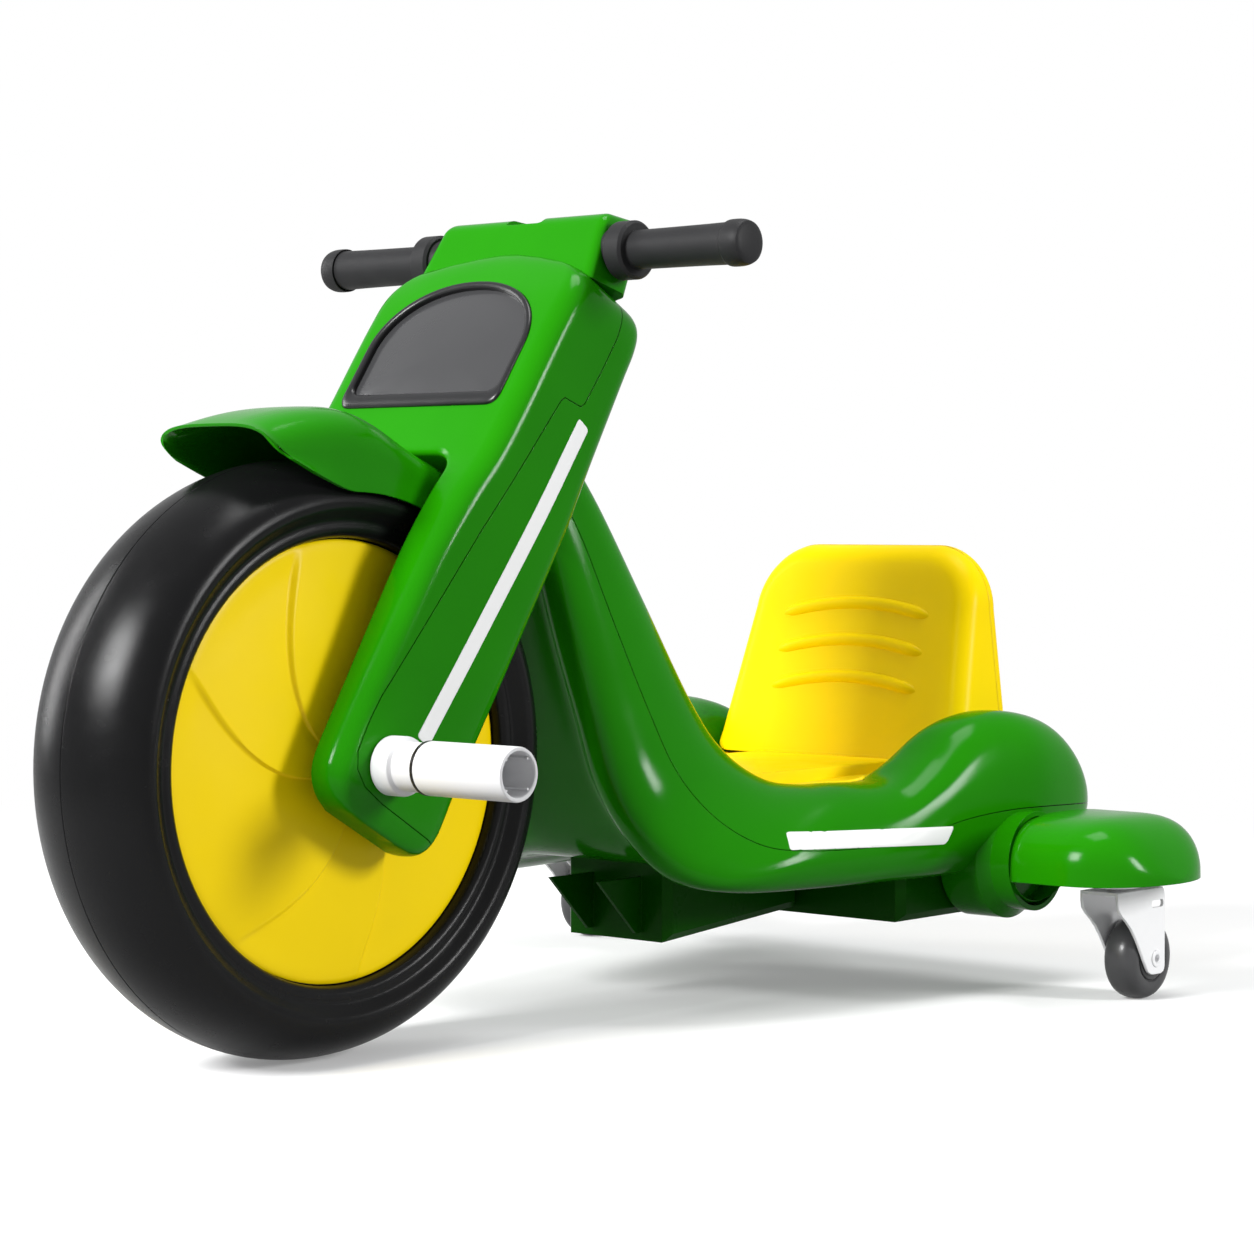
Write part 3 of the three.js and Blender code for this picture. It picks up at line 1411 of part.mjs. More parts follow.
function castorWheelProfile() {
  const crownShares = [0, 0.6, 1];
  const bore = castorAxleRadius + seatGap;
  const right = crownShares.map((share) => [
    castorWheelRadius - castorWheelHalf * castorCrownShare * share ** castorCrownPower,
    castorWheelHalf * share,
  ]);
  const side = [
    ...right,
    [castorHubRadius + castorGroove, castorWheelHalf],
    [castorHubRadius + castorGroove / 2, castorWheelHalf - castorGroove],
    [castorHubRadius, castorWheelHalf],
    [bore, castorWheelHalf + castorGroove],
  ];
  return [...side, ...side.slice(1).reverse().map(([radius, along]) => [radius, -along])];
}

function castorParts(side, direction) {
  const plateTop = armBottom - seatGap;
  const plateBottom = plateTop - castorPlateThickness;
  const race = plateBottom - castorRaceHeight;
  const pivot = new THREE.Group();
  pivot.position.set(direction * castorHalf, crossTubeBack, 0);
  const plate = postSolid(castorPlateRadius, plateBottom, plateTop, castorPinRadius + seatGap)
    .add(postSolid(castorRaceRadius, race + seatGap, plateBottom, castorPinRadius + seatGap));
  const pinFoot = yokeTopHeight - yokeThickness - seatGap;
  const pin = postSolid(castorPinRadius, pinFoot - castorRaceHeight / 2, armTop - armWall - seatGap)
    .add(postSolid(castorRaceRadius / 2, pinFoot - castorRaceHeight / 2, pinFoot));
  pivot.add(part(`castor_plate_${side}`, plate, zinc));
  pivot.add(part(`castor_pin_${side}`, pin, zinc));
  const yoke = part(`castor_yoke_${side}`, yokeSolid(), zinc);
  yoke.position.z = yokeTopHeight;
  pivot.add(yoke);
  const axle = part(
    `castor_axle_${side}`,
    barSolid(castorAxleRadius, -yokeHalf - seatGap, yokeHalf + seatGap, castorAxleRadius / 2, 16),
    zinc,
  );
  const wheel = part(`castor_wheel_${side}`, turnedSolid(castorWheelProfile()), gripGrey);
  [axle, wheel].forEach((mesh) => {
    mesh.position.set(0, castorTrail, castorWheelRadius);
    pivot.add(mesh);
  });
  return pivot;
}

function steeringGroup() {
  const group = new THREE.Group();
  group.applyMatrix4(steeringPlace);
  const shell = forkShellSolid();
  group.add(part('fork_front_shell', shell.intersect(forkFrontRegion(0)), green));
  group.add(part('fork_rear_shell', shell.subtract(forkFrontRegion(seatGap)), green));
  group.add(...windowParts());
  group.add(part('mudguard', mudguardSolid(), green));
  group.add(...podParts());
  group.add(...handlebarParts());
  group.add(...columnParts());
  return group;
}

const trike = new THREE.Group();
const axleGroup = new THREE.Group();
axleGroup.position.set(0, -axleAhead, wheelRadius);
axleGroup.add(...wheelParts(), ...axleParts());
trike.add(axleGroup);
trike.add(steeringGroup());
trike.add(...bodyParts());
trike.add(...headParts());
trike.add(...seatParts());
trike.add(...underboxParts());
trike.add(...socketParts());
trike.add(...mirrorPair('castor_arm', armSolid(), green));
trike.add(castorParts('left', 1));
trike.add(castorParts('right', -1));
trike.position.y = -lengthMiddle;
trike.updateMatrixWorld(true);

export default trike;
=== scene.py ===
"""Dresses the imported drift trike: camera, light, materials and finer visible pieces."""

import json
import math

import bmesh
import bpy
import numpy as np
from mathutils import Matrix, Vector

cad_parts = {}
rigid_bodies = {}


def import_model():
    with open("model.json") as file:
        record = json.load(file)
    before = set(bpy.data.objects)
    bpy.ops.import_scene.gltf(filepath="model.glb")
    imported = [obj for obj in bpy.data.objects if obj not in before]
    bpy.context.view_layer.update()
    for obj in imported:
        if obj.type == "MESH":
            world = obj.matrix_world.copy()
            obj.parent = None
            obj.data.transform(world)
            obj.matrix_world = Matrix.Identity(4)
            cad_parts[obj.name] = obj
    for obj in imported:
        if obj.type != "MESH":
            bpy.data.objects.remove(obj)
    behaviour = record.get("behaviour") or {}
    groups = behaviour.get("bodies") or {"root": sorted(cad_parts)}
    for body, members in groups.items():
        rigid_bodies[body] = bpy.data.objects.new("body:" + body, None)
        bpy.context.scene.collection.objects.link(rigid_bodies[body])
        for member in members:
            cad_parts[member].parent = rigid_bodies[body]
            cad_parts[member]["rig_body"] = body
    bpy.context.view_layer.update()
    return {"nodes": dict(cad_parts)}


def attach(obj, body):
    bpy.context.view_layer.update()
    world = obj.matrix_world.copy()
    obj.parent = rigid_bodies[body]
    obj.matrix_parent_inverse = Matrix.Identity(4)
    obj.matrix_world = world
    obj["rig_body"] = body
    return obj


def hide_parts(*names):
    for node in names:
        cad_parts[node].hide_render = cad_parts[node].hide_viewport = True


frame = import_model()
nodes = frame["nodes"]
body_of = {name: obj["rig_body"] for name, obj in nodes.items()}

SIDES = (("left", 1), ("right", -1))


def new_object(name, data):
    obj = bpy.data.objects.new(name, data)
    bpy.context.scene.collection.objects.link(obj)
    return obj


# Camera, where the photograph was taken from: metres, degrees and millimetres of focal length

CAMERA_PLACE = (1.62752, -1.75331, 0.36993)
CAMERA_AZIMUTH, CAMERA_PITCH = 41.4, 1.98
SENSOR, LENS = 36.0, 93.33


def make_camera():
    data = bpy.data.cameras.new("camera")
    data.sensor_width = SENSOR
    data.lens = LENS
    data.clip_start = 0.05
    data.clip_end = 60
    camera = new_object("camera", data)
    camera.location = CAMERA_PLACE
    camera.rotation_euler = (math.radians(90 - CAMERA_PITCH), 0, math.radians(CAMERA_AZIMUTH))
    bpy.context.scene.camera = camera


# Light, world and floor. A lamp is its name, place, aim, size and power in watts. The floor
# glows where the camera sees it, and fades to white away from the part.

LAMPS = (
    ("front", (-0.4, -2.8, 1.9), (0, 0, 0.25), (1.1, 1.1), 185),
    ("left", (-2.6, -1.0, 1.2), (0, 0, 0.3), (0.6, 1.8), 32),
    ("right", (2.6, 0.9, 1.15), (0, 0, 0.25), (0.45, 0.8), 54),
    ("above", (0.2, 0.5, 3.0), (0, 0.1, 0.2), (1.2, 1.2), 36),
)
WHITE = (1, 1, 1, 1)
MIRRORED_SHARE = 0.45
AMBIENT_COLOUR, AMBIENT_STRENGTH = (0.96, 0.98, 1, 1), 0.30
FLOOR_REACH = 30.0
FLOOR_SEEN, FLOOR_BOUNCED = (0.94, 0.94, 0.94, 1), (0.30, 0.30, 0.30, 1)
FLOOR_GLOW = 0.25
FLOOR_FADE = {"From Min": 0.75, "From Max": 1.9, "To Min": 0.22}


def make_area(name, place, aim, size, power):
    data = bpy.data.lights.new(name, "AREA")
    data.shape = "RECTANGLE"
    data.size, data.size_y = size
    data.energy = power
    lamp = new_object(name, data)
    lamp.location = place
    direction = Vector(aim) - Vector(place)
    lamp.rotation_euler = direction.to_track_quat("-Z", "Y").to_euler()


def fill(node, inputs):
    """Gives sockets of a node their values, or links them to another node's socket."""
    for name, value in inputs.items():
        if isinstance(value, bpy.types.NodeSocket):
            node.id_data.links.new(value, node.inputs[name])
        else:
            node.inputs[name].default_value = value


def shader_node(tree, kind, inputs, result=0, **settings):
    """Adds a shader node and returns one of its outputs."""
    node = tree.nodes.new("ShaderNode" + kind)
    for name, value in settings.items():
        setattr(node, name, value)
    fill(node, inputs)
    return node.outputs[result]


def empty_tree(owner):
    owner.use_nodes = True
    owner.node_tree.nodes.clear()
    return owner.node_tree


def seen_directly(tree):
    """One for what the camera sees, a share for what is mirrored, and zero for bounced light."""
    glossy = shader_node(tree, "LightPath", {}, "Is Glossy Ray")
    camera = shader_node(tree, "LightPath", {}, "Is Camera Ray")
    mirrored = shader_node(tree, "Math", {0: glossy, 1: MIRRORED_SHARE}, operation="MULTIPLY")
    return shader_node(tree, "Math", {0: camera, 1: mirrored}, operation="MAXIMUM")


def make_world():
    world = bpy.data.worlds.new("studio")
    bpy.context.scene.world = world
    tree = empty_tree(world)
    ambient = shader_node(tree, "Background", {"Color": AMBIENT_COLOUR, "Strength": AMBIENT_STRENGTH})
    seen = shader_node(tree, "Background", {"Color": WHITE, "Strength": 1.0})
    mix = shader_node(tree, "MixShader", {0: seen_directly(tree), 1: ambient, 2: seen})
    fill(tree.nodes.new("ShaderNodeOutputWorld"), {"Surface": mix})


def make_floor():
    mesh = bpy.data.meshes.new("floor")
    corners = ((-1, -1), (1, -1), (1, 1), (-1, 1))
    mesh.from_pydata([(x * FLOOR_REACH, y * FLOOR_REACH, 0) for x, y in corners], [], [(0, 1, 2, 3)])
    floor = new_object("floor", mesh)
    material = bpy.data.materials.new("floor")
    tree = empty_tree(material)
    seen = seen_directly(tree)
    shade = shader_node(
        tree, "Mix", {"Factor": seen, "A": FLOOR_BOUNCED, "B": FLOOR_SEEN}, "Result", data_type="RGBA")
    matt = shader_node(tree, "BsdfDiffuse", {"Color": shade})
    strength = shader_node(tree, "MapRange", {"Value": seen, "To Min": FLOOR_GLOW, "To Max": 1.0})
    glow = shader_node(tree, "Emission", {"Color": WHITE, "Strength": strength})
    place = shader_node(tree, "TexCoord", {}, "Object")
    length = shader_node(tree, "VectorMath", {0: place}, "Value", operation="LENGTH")
    fade = shader_node(tree, "MapRange", {"Value": length, **FLOOR_FADE}, interpolation_type="SMOOTHSTEP")
    mix = shader_node(tree, "MixShader", {0: fade, 1: matt, 2: glow})
    fill(tree.nodes.new("ShaderNodeOutputMaterial"), {"Surface": mix})
    mesh.materials.append(material)


# Materials. A family gives the noises of its colour and of its gloss as (scale, detail), how the
# noises spread, how far edges look rounded, and its skin as (detail, depth in metres, strength).

COAT_ROUGHNESS = 0.06
PLAIN = dict(
    specular=0.14, metallic=0.0, coat=0.0, grain=900, brushing=(1, 1, 1), cloud_limits=(0.35, 0.7),
)
PLASTIC = dict(
    PLAIN, cloud=(9.0, 3.0), gloss=(38.0, 3.0), gloss_shares=(0.85, 1.15), edge=0.0009,
    skin=(2.0, 0.00006, 0.6),
)
RUBBER = dict(
    PLAIN, cloud=(14.0, 4.0), gloss=(60.0, 3.0), gloss_shares=(0.9, 1.12), edge=0.0007,
    skin=(3.0, 0.00012, 0.7), specular=0.13,
)
METAL = dict(
    PLAIN, cloud=(120.0, 2.0), gloss=(220.0, 3.0), gloss_shares=(0.92, 1.1), edge=0.0005,
    cloud_limits=(0.3, 0.7), specular=0.5, metallic=1.0,
)


def make_material(name, family, colour, deep, roughness, **own):
    """Cloudy colour, gloss that drifts along the brushing, soft edges and a fine skin."""
    look = dict(family, **own)
    material = bpy.data.materials.new(name)
    material.use_nodes = True
    tree = material.node_tree
    place = shader_node(tree, "TexCoord", {}, "Object")
    along = shader_node(tree, "Mapping", {"Vector": place, "Scale": look["brushing"]})

    def noise(vector, scale, detail):
        return shader_node(tree, "TexNoise", {"Vector": vector, "Scale": scale, "Detail": detail}, "Fac")

    def ramp(value, low, high, to_low=0.0, to_high=1.0):
        limits = {"From Min": low, "From Max": high, "To Min": to_low, "To Max": to_high}
        return shader_node(tree, "MapRange", {"Value": value, **limits}, "Result")

    cloud = ramp(noise(place, *look["cloud"]), *look["cloud_limits"])
    tints = {"Factor": cloud, "A": (*deep, 1), "B": (*colour, 1)}
    glossier, duller = (roughness * share for share in look["gloss_shares"])
    normal = shader_node(tree, "Bevel", {"Radius": look["edge"]}, "Normal", samples=4)
    if "skin" in look:
        detail, distance, strength = look["skin"]
        grain = noise(place, look["grain"], detail)
        relief = {"Height": grain, "Distance": distance, "Strength": strength}
        normal = shader_node(tree, "Bump", {"Normal": normal, **relief}, "Normal")
    fill(tree.nodes["Principled BSDF"], {
        "Base Color": shader_node(tree, "Mix", tints, "Result", data_type="RGBA"),
        "Roughness": ramp(noise(along, *look["gloss"]), 0.3, 0.7, glossier, duller),
        "Normal": normal, "Metallic": look["metallic"], "Specular IOR Level": look["specular"],
        "Coat Weight": look["coat"], "Coat Roughness": COAT_ROUGHNESS,
    })
    return material


# Family, colour, the colour of its darker clouds, roughness and what differs from the family

LOOKS = {
    "green_plastic": (PLASTIC, (0.012, 0.205, 0.0005), (0.0105, 0.186, 0.0004), 0.14, dict(specular=0.09)),
    # green_painted_shade: the green darkened to paint the shade under the body onto the boxes there
    "green_painted_shade": (PLASTIC, (0.006, 0.085, 0.0005), (0.005, 0.075, 0.0004), 0.3, dict(specular=0.05)),
    "yellow_plastic": (PLASTIC, (0.98, 0.7, 0.0008), (0.95, 0.675, 0.0006), 0.34, {}),
    "seat_yellow": (PLASTIC, (0.95, 0.685, 0.0006), (0.92, 0.66, 0.0005), 0.34, dict(specular=0.06)),
    "tyre": (RUBBER, (0.0055, 0.0055, 0.0058), (0.0044, 0.0044, 0.0047), 0.25, dict(grain=1500)),
    "grip": (RUBBER, (0.021, 0.021, 0.022), (0.017, 0.017, 0.018), 0.46, dict(grain=1800)),
    "trim_black": (PLASTIC, (0.01, 0.01, 0.011), (0.008, 0.008, 0.009), 0.3, dict(specular=0.3, coat=0.1)),
    "window_grey": (
        PLASTIC, (0.04, 0.04, 0.042), (0.036, 0.036, 0.038), 0.18, dict(specular=0.4, coat=0.3, grain=400)),
    "white_plastic": (PLASTIC, (0.66, 0.66, 0.67), (0.645, 0.645, 0.655), 0.38, dict(specular=0.15)),
    "white_film": (PLASTIC, (0.86, 0.86, 0.86), (0.85, 0.85, 0.85), 0.4, dict(grain=1400)),
    "zinc": (METAL, (0.97, 0.97, 0.98), (0.955, 0.955, 0.965), 0.3, dict(metallic=0.2, brushing=(1, 1, 3))),
    "steel": (METAL, (0.42, 0.43, 0.45), (0.414, 0.424, 0.443), 0.34, dict(brushing=(1, 6, 6))),
    "nylon": (PLASTIC, (0.62, 0.6, 0.54), (0.58, 0.56, 0.5), 0.5, {}),
    "castor_grey": (
        PLASTIC, (0.06, 0.06, 0.062), (0.052, 0.052, 0.054), 0.3, dict(specular=0.3, coat=0.1, grain=700)),
}
MATERIALS = {name: make_material(name + "_look", *look, **own) for name, (*look, own) in LOOKS.items()}
SLOTS = {"seat_yellow": "yellow_plastic", "white_film": "white_plastic"}
slot_of = {name: obj.data.materials[0].name for name, obj in nodes.items()}


# Pieces that stand for nodes, nodes that are refined, and nodes kept with rounded edges

WELD_DISTANCE = 1e-5
REFINE_CREASE, REFINE_LEVELS, REFINE_PASSES = math.radians(34), 2, 3
EDGE_WIDTH, EDGE_ANGLE = 0.0005, math.radians(38)
# Boxes under the body that take the darker green, as painted shade for the shadow they sit in
PAINTED_SHADE_NODES = ("underbox_front", "underbox_rear")


def finish_piece(obj, angle, node=None, material=None, body=None, name=None):
    """Names a piece, smooths it up to an angle if one is given, and gives it its material and its
    body. Where they aren't told, they are those of the node that it stands for."""
    obj.name = name or node.removesuffix("_shell") + "_skin"
    if angle:
        smooth(obj, angle)
    material = material or slot_of[node]
    obj.data.materials.clear()
    obj.data.materials.append(MATERIALS[material])
    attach(obj, body or body_of[node])
    if node:
        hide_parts(node)
    slot_of[node] if node else SLOTS.get(material, material)


def refine(node):
    """Replaces a node by a subdivision surface that passes through the node's own points."""
    mesh = nodes[node].data.copy()
    bm = bmesh.new()
    bm.from_mesh(mesh)
    bmesh.ops.remove_doubles(bm, verts=bm.verts, dist=WELD_DISTANCE)
    bmesh.ops.join_triangles(bm, faces=bm.faces, angle_face_threshold=0.6, angle_shape_threshold=0.9)
    crease = bm.edges.layers.float.new("crease_edge")
    for edge in bm.edges:
        edge.smooth = True
        if len(edge.link_faces) == 2 and edge.calc_face_angle() > REFINE_CREASE:
            edge[crease] = 1.0
            edge.smooth = False
    for face in bm.faces:
        face.smooth = True
    bm.to_mesh(mesh)
    bm.free()
    obj = new_object("refined", mesh)
    modifier = obj.modifiers.new("subdivision", "SUBSURF")
    modifier.levels = modifier.render_levels = REFINE_LEVELS
    modifier.use_limit_surface = True
    target = np.array([v.co for v in mesh.vertices])
    cage = target.copy()
    for _ in range(REFINE_PASSES):
        graph = bpy.context.evaluated_depsgraph_get()
        result = obj.evaluated_get(graph).data
        reached = np.empty(len(result.vertices) * 3)
        result.vertices.foreach_get("co", reached)
        cage += target - reached.reshape(-1, 3)[: len(target)]
        mesh.vertices.foreach_set("co", cage.astype(np.float32).ravel())
        mesh.update()
    finish_piece(obj, None, node)


def dress(node):
    """Keeps a node and rounds its edges."""
    obj = nodes[node]
    weld = obj.modifiers.new("weld", "WELD")
    weld.merge_threshold = WELD_DISTANCE
    bevel = obj.modifiers.new("bevel", "BEVEL")
    bevel.width = EDGE_WIDTH
    bevel.segments = 2
    bevel.limit_method = "ANGLE"
    bevel.angle_limit = EDGE_ANGLE
    obj.data.shade_smooth()
    normals = obj.modifiers.new("normals", "WEIGHTED_NORMAL")
    normals.keep_sharp = True
    obj.data.materials.clear()
    # The boxes under the body take the darker green: painted shade
    obj.data.materials.append(MATERIALS["green_painted_shade" if node in PAINTED_SHADE_NODES else slot_of[node]])


# Lofts and cuts for the pieces with moulded shapes. Places are millimetres along the
# body's own line, whose zero is 240 mm ahead of the part's origin.

MM = 0.001
BODY_START = 240.0
STEERING_PLACE = Vector((0, -49.43, 448.5))
STEERING_RAKE = math.radians(30)


def body_point(x, y, z):
    return Vector((x, y - BODY_START, z)) * MM


def steering_point(x, back, up):
    """From a place measured from the steering axis: behind it and up along it."""
    cos, sin = math.cos(STEERING_RAKE), math.sin(STEERING_RAKE)
    y = STEERING_PLACE.y + back * cos + up * sin
    z = STEERING_PLACE.z - back * sin + up * cos
    return Vector((x, y, z)) * MM


def catmull(rows, count):
    """Rows of numbers on smooth curves through the given rows."""
    table = np.array(rows, float)
    padded = np.vstack([2 * table[0] - table[1], table, 2 * table[-1] - table[-2]])
    result = []
    for place in np.linspace(0, len(table) - 1, count):
        i = min(int(place), len(table) - 2)
        t = place - i
        p0, p1, p2, p3 = padded[i: i + 4]
        square, cube = 2 * p0 - 5 * p1 + 4 * p2 - p3, -p0 + 3 * p1 - 3 * p2 + p3
        result.append(0.5 * (2 * p1 + (p2 - p0) * t + square * t * t + cube * t ** 3))
    return result


def loft(rings, closed=False):
    """A piece through rings of points, each ring closed, capped with flat faces."""
    bm = bmesh.new()
    grid = [[bm.verts.new(point) for point in ring] for ring in rings]
    count = len(rings[0])
    bands = len(rings) if closed else len(rings) - 1
    for i in range(bands):
        upper = grid[(i + 1) % len(rings)]
        for j in range(count):
            k = (j + 1) % count
            bm.faces.new((grid[i][j], grid[i][k], upper[k], upper[j]))
    if not closed:
        bm.faces.new(list(reversed(grid[0])))
        bm.faces.new(grid[-1])
    bmesh.ops.recalc_face_normals(bm, faces=bm.faces)
    mesh = bpy.data.meshes.new("loft")
    bm.to_mesh(mesh)
    bm.free()
    return new_object("loft", mesh)


def lathe(profile, place, axis="X", steps=64, flip=1):
    """A closed profile of (radius, distance along the axis) in mm, turned about the axis."""
    rings = []
    for i in range(steps):
        angle = 2 * math.pi * i / steps
        c, s = math.cos(angle), math.sin(angle)
        ring = []
        for radius, along in profile:
            along *= flip
            local = {"X": (along, radius * c, radius * s), "Z": (radius * c, radius * s, along)}[axis]
            ring.append(Vector(local) * MM + Vector(place))
        rings.append(ring)
    return loft(rings, closed=True)


def both_ways(half):
    """A profile of (radius, distance along the axis), carried on to the axis's other side."""
    return half + [(r, -a) for r, a in reversed(half) if a]


def cut(obj, other, operation="DIFFERENCE"):
    """Applies an exact boolean with another object, which is then removed."""
    modifier = obj.modifiers.new("cut", "BOOLEAN")
    modifier.operation = operation
    modifier.solver = "EXACT"
    modifier.object = other
    graph = bpy.context.evaluated_depsgraph_get()
    mesh = bpy.data.meshes.new_from_object(obj.evaluated_get(graph))
    obj.modifiers.remove(modifier)
    old = obj.data
    obj.data = mesh
    bpy.data.meshes.remove(old)
    bpy.data.objects.remove(other)


def smooth(obj, angle):
    """Smooth shading, with a hard edge wherever faces meet at more than the angle."""
    obj.data.shade_smooth()
    obj.data.set_sharp_from_angle(angle=math.radians(angle))


def signed_power(value, power):
    return math.copysign(abs(value) ** power, value)


def superellipse_point(angle, power):
    return signed_power(math.cos(angle), 2 / power), signed_power(math.sin(angle), 2 / power)


def arc(x, y, radius, start, steps):
    """Points of a quarter circle about (x, y), from a start counted in quarter turns."""
    angles = [math.pi / 2 * (start + i / steps) for i in range(steps + 1)]
    return [(x + radius * math.cos(a), y + radius * math.sin(a)) for a in angles]


def rounding(radius, steps):
    """How far a rounded edge is drawn in and how deep it is, from its rim to its flat."""
    turns = [math.pi / 2 * i / steps for i in range(steps + 1)]
    return [(radius * (1 - math.sin(t)), radius * (1 - math.cos(t))) for t in turns]


def rounded_section(front, rear, half, radius, steps, between):
    """A rectangle with rounded corners in (x, y), with some points between its corners."""
    corners = [(half - radius, rear - radius), (radius - half, rear - radius),
               (radius - half, front + radius), (half - radius, front + radius)]
    points = []
    for quarter, (x, y) in enumerate(corners):
        points += arc(x, y, radius, quarter, steps)
        across, along = points[-1][0] - x, points[-1][1] - y
        ahead = corners[(quarter + 1) % 4]
        for i in range(1, between + 1):
            share = i / (between + 1)
            points.append((lerp(x, ahead[0], share) + across, lerp(y, ahead[1], share) + along))
    return points


def lerp(a, b, t):
    return a + (b - a) * t


def smoothstep(x, low, high):
    t = min(max((x - low) / (high - low), 0), 1)
    return t * t * (3 - 2 * t)


def tube(points, radius, sides):
    """A round bead through points, with rounded ends."""
    rings = []
    last = len(points) - 1
    for i, point in enumerate(points):
        ahead = points[min(i + 1, last)] - points[max(i - 1, 0)]
        ahead.normalize()
        side = ahead.cross(Vector((0, 0, 1)))
        side.normalize()
        up = side.cross(ahead)
        size = radius * (0.35, 0.72, 0.92, 1.0)[min(i, last - i, 3)]
        turns = [2 * math.pi * k / sides for k in range(sides)]
        rings.append([point + side * size * math.cos(t) + up * size * math.sin(t) for t in turns])
    return loft(rings)


# Body. Each row is a station of its side view, a line from the lower or front skin to the
# upper or rear skin: lower y, z, upper y, z, outer half width, roll half width, and the
# shares of the line at which the web and the deck lie between the side rolls.

STATIONS = [
    (172, 398, 214, 432, 42, 17, 0.20, 0.80),
    (184, 372, 228, 411, 50, 18, 0.20, 0.80),
    (197, 337, 252, 373, 58, 20, 0.18, 0.84),
    (212, 277, 290, 307, 68, 23, 0.15, 0.88),
    (226, 222, 336, 229, 78, 25, 0.12, 0.90),
    (238, 172, 362, 193, 90, 28, 0.11, 0.91),
    (250, 133, 385, 172, 112, 30, 0.12, 0.90),
    (272, 104, 408, 166.5, 136, 33, 0.15, 0.93),
    (310, 94, 430, 167, 154, 35, 0.20, 0.93),
    (385, 92, 470, 168, 169, 36, 0.22, 0.92),
    (445, 92, 500, 184, 180, 37, 0.20, 0.76),
    (500, 92, 530, 207, 189, 38, 0.18, 0.61),
    (550, 93, 560, 216.5, 197, 38.6, 0.20, 0.56),
    (594, 94.5, 592, 216, 203, 38.6, 0.19, 0.56),
    (634, 98, 628, 208, 201, 38, 0.18, 0.58),
    (662, 106, 655, 193, 196, 36, 0.20, 0.64),
    (680, 119, 677, 170, 187, 30.5, 0.25, 0.78),
    (690, 129, 690, 148, 177, 22, 0.35, 0.70),
]
BODY_ROWS = 120
ROLL_POWER = 2.5
SEAM_SHARE = 0.4
SEAM_GAP = 0.7


def roll_edge(share):
    """How wide a side roll is at a share of its depth, from 0 to 1."""
    off = min(abs(2 * share - 1), 1)
    return (1 - off ** ROLL_POWER) ** (1 / ROLL_POWER)


def roll_arc(centre, half, start, end, count):
    """Points of a roll's section between two angles, as (x, share of the depth)."""
    points = []
    for i in range(count + 1):
        across, rise = superellipse_point(lerp(start, end, i / count), ROLL_POWER)
        points.append((centre + half * across, 0.5 + 0.5 * rise))
    return points


def roll_angle(share, inner):
    """The angle at which a roll's outer or inner side reaches a share of its depth."""
    s = signed_power(2 * share - 1, ROLL_POWER / 2)
    angle = math.asin(max(-1, min(1, s)))
    return math.pi - angle if inner else angle


def relax(points, near, spread, passes):
    """Rounds the corner at one point of a line of points."""
    line = np.array(points)
    low, high = max(near - spread, 1), min(near + spread + 1, len(points) - 1)
    for _ in range(passes):
        line[low:high] = (line[low - 1:high - 1] + 2 * line[low:high] + line[low + 1:high + 1]) / 4
    return [tuple(p) for p in line.tolist()]


def upper_line(station, gap_share):
    """Half of the upper skin's section: from the middle of the deck out to the seam."""
    outer, roll, deck = station[4], station[5], station[7]
    centre = outer - roll
    flank = centre - roll * roll_edge(deck)
    floor = [(flank * i / 10, deck) for i in range(10)]
    wall = roll_arc(centre, roll, roll_angle(deck, True), math.pi / 2, 14)
    outside = roll_arc(centre, roll, math.pi / 2, roll_angle(SEAM_SHARE + gap_share, False), 16)[1:]
    return relax(floor + wall + outside, 10, 3, 5)


def lower_line(station, gap_share):
    """Half of the lower skin's section: from the seam round under the roll to the web."""
    outer, roll, web = station[4], station[5], station[6]
    centre = outer - roll
    flank = centre - roll * roll_edge(web)
    outside = roll_arc(centre, roll, roll_angle(SEAM_SHARE - gap_share, False), -math.pi / 2, 16)
    inside = roll_arc(centre, roll, -math.pi / 2, roll_angle(web, True) - 2 * math.pi, 12)[1:]
    floor = [(flank * (1 - i / 8), web) for i in range(1, 9)]
    points = outside + inside + floor
    return relax(points, len(outside) + len(inside) - 1, 3, 4)


def station_point(station, x, share):
    return body_point(x, lerp(station[0], station[2], share), lerp(station[1], station[3], share))


def station_depth(station):
    return math.hypot(station[2] - station[0], station[3] - station[1])


def mirrored(half):
    """A whole section's line, from the half that starts in the middle."""
    return [(-x, s) for x, s in reversed(half[1:])] + half


def body_skins():
    upper, lower = [], []
    for station in catmull(STATIONS, BODY_ROWS):
        gap = SEAM_GAP / 2 / station_depth(station)
        upper.append([station_point(station, x, s) for x, s in mirrored(upper_line(station, gap))])
        half = lower_line(station, gap)
        line = half + [(-x, s) for x, s in reversed(half[:-1])]
        lower.append([station_point(station, x, s) for x, s in line])
    finish_piece(loft(upper), 40, "body_upper_shell")
    finish_piece(loft(lower), 40, "body_lower_shell")


# The yellow liner on the deck, with its raised platform

LINER_GAP, LINER_THICKNESS = 0.3, 3.0
LINER_SIDE_TOP, LINER_CREST_REAR = 171.0, 440.0
LINER_ROWS = slice(5, -8)
PLATFORM = dict(
    half=76.0, front=382.0, step=582.4, rear=640.0, base=162.0, top=174.0, recess=1.5, corner=9.0,
)


def offset_line(line, depth, distance):
    """Moves a section's line of (x, share) outwards by a distance in mm."""
    points = [Vector((x, s * depth)) for x, s in line]
    moved = []
    for i, point in enumerate(points):
        along = points[min(i + 1, len(points) - 1)] - points[max(i - 1, 0)]
        along.normalize()
        moved.append(point + Vector((-along.y, along.x)) * distance)
    return [(p.x, p.y / depth) for p in moved]


def resample(line, depth, count):
    """The same line with evenly spaced points."""
    points = np.array([(x, s * depth) for x, s in line])
    lengths = np.r_[0, np.cumsum(np.hypot(*np.diff(points, axis=0).T))]
    places = np.linspace(0, lengths[-1], count)
    xs = np.interp(places, lengths, points[:, 0])
    ys = np.interp(places, lengths, points[:, 1])
    return list(zip(xs, ys / depth))


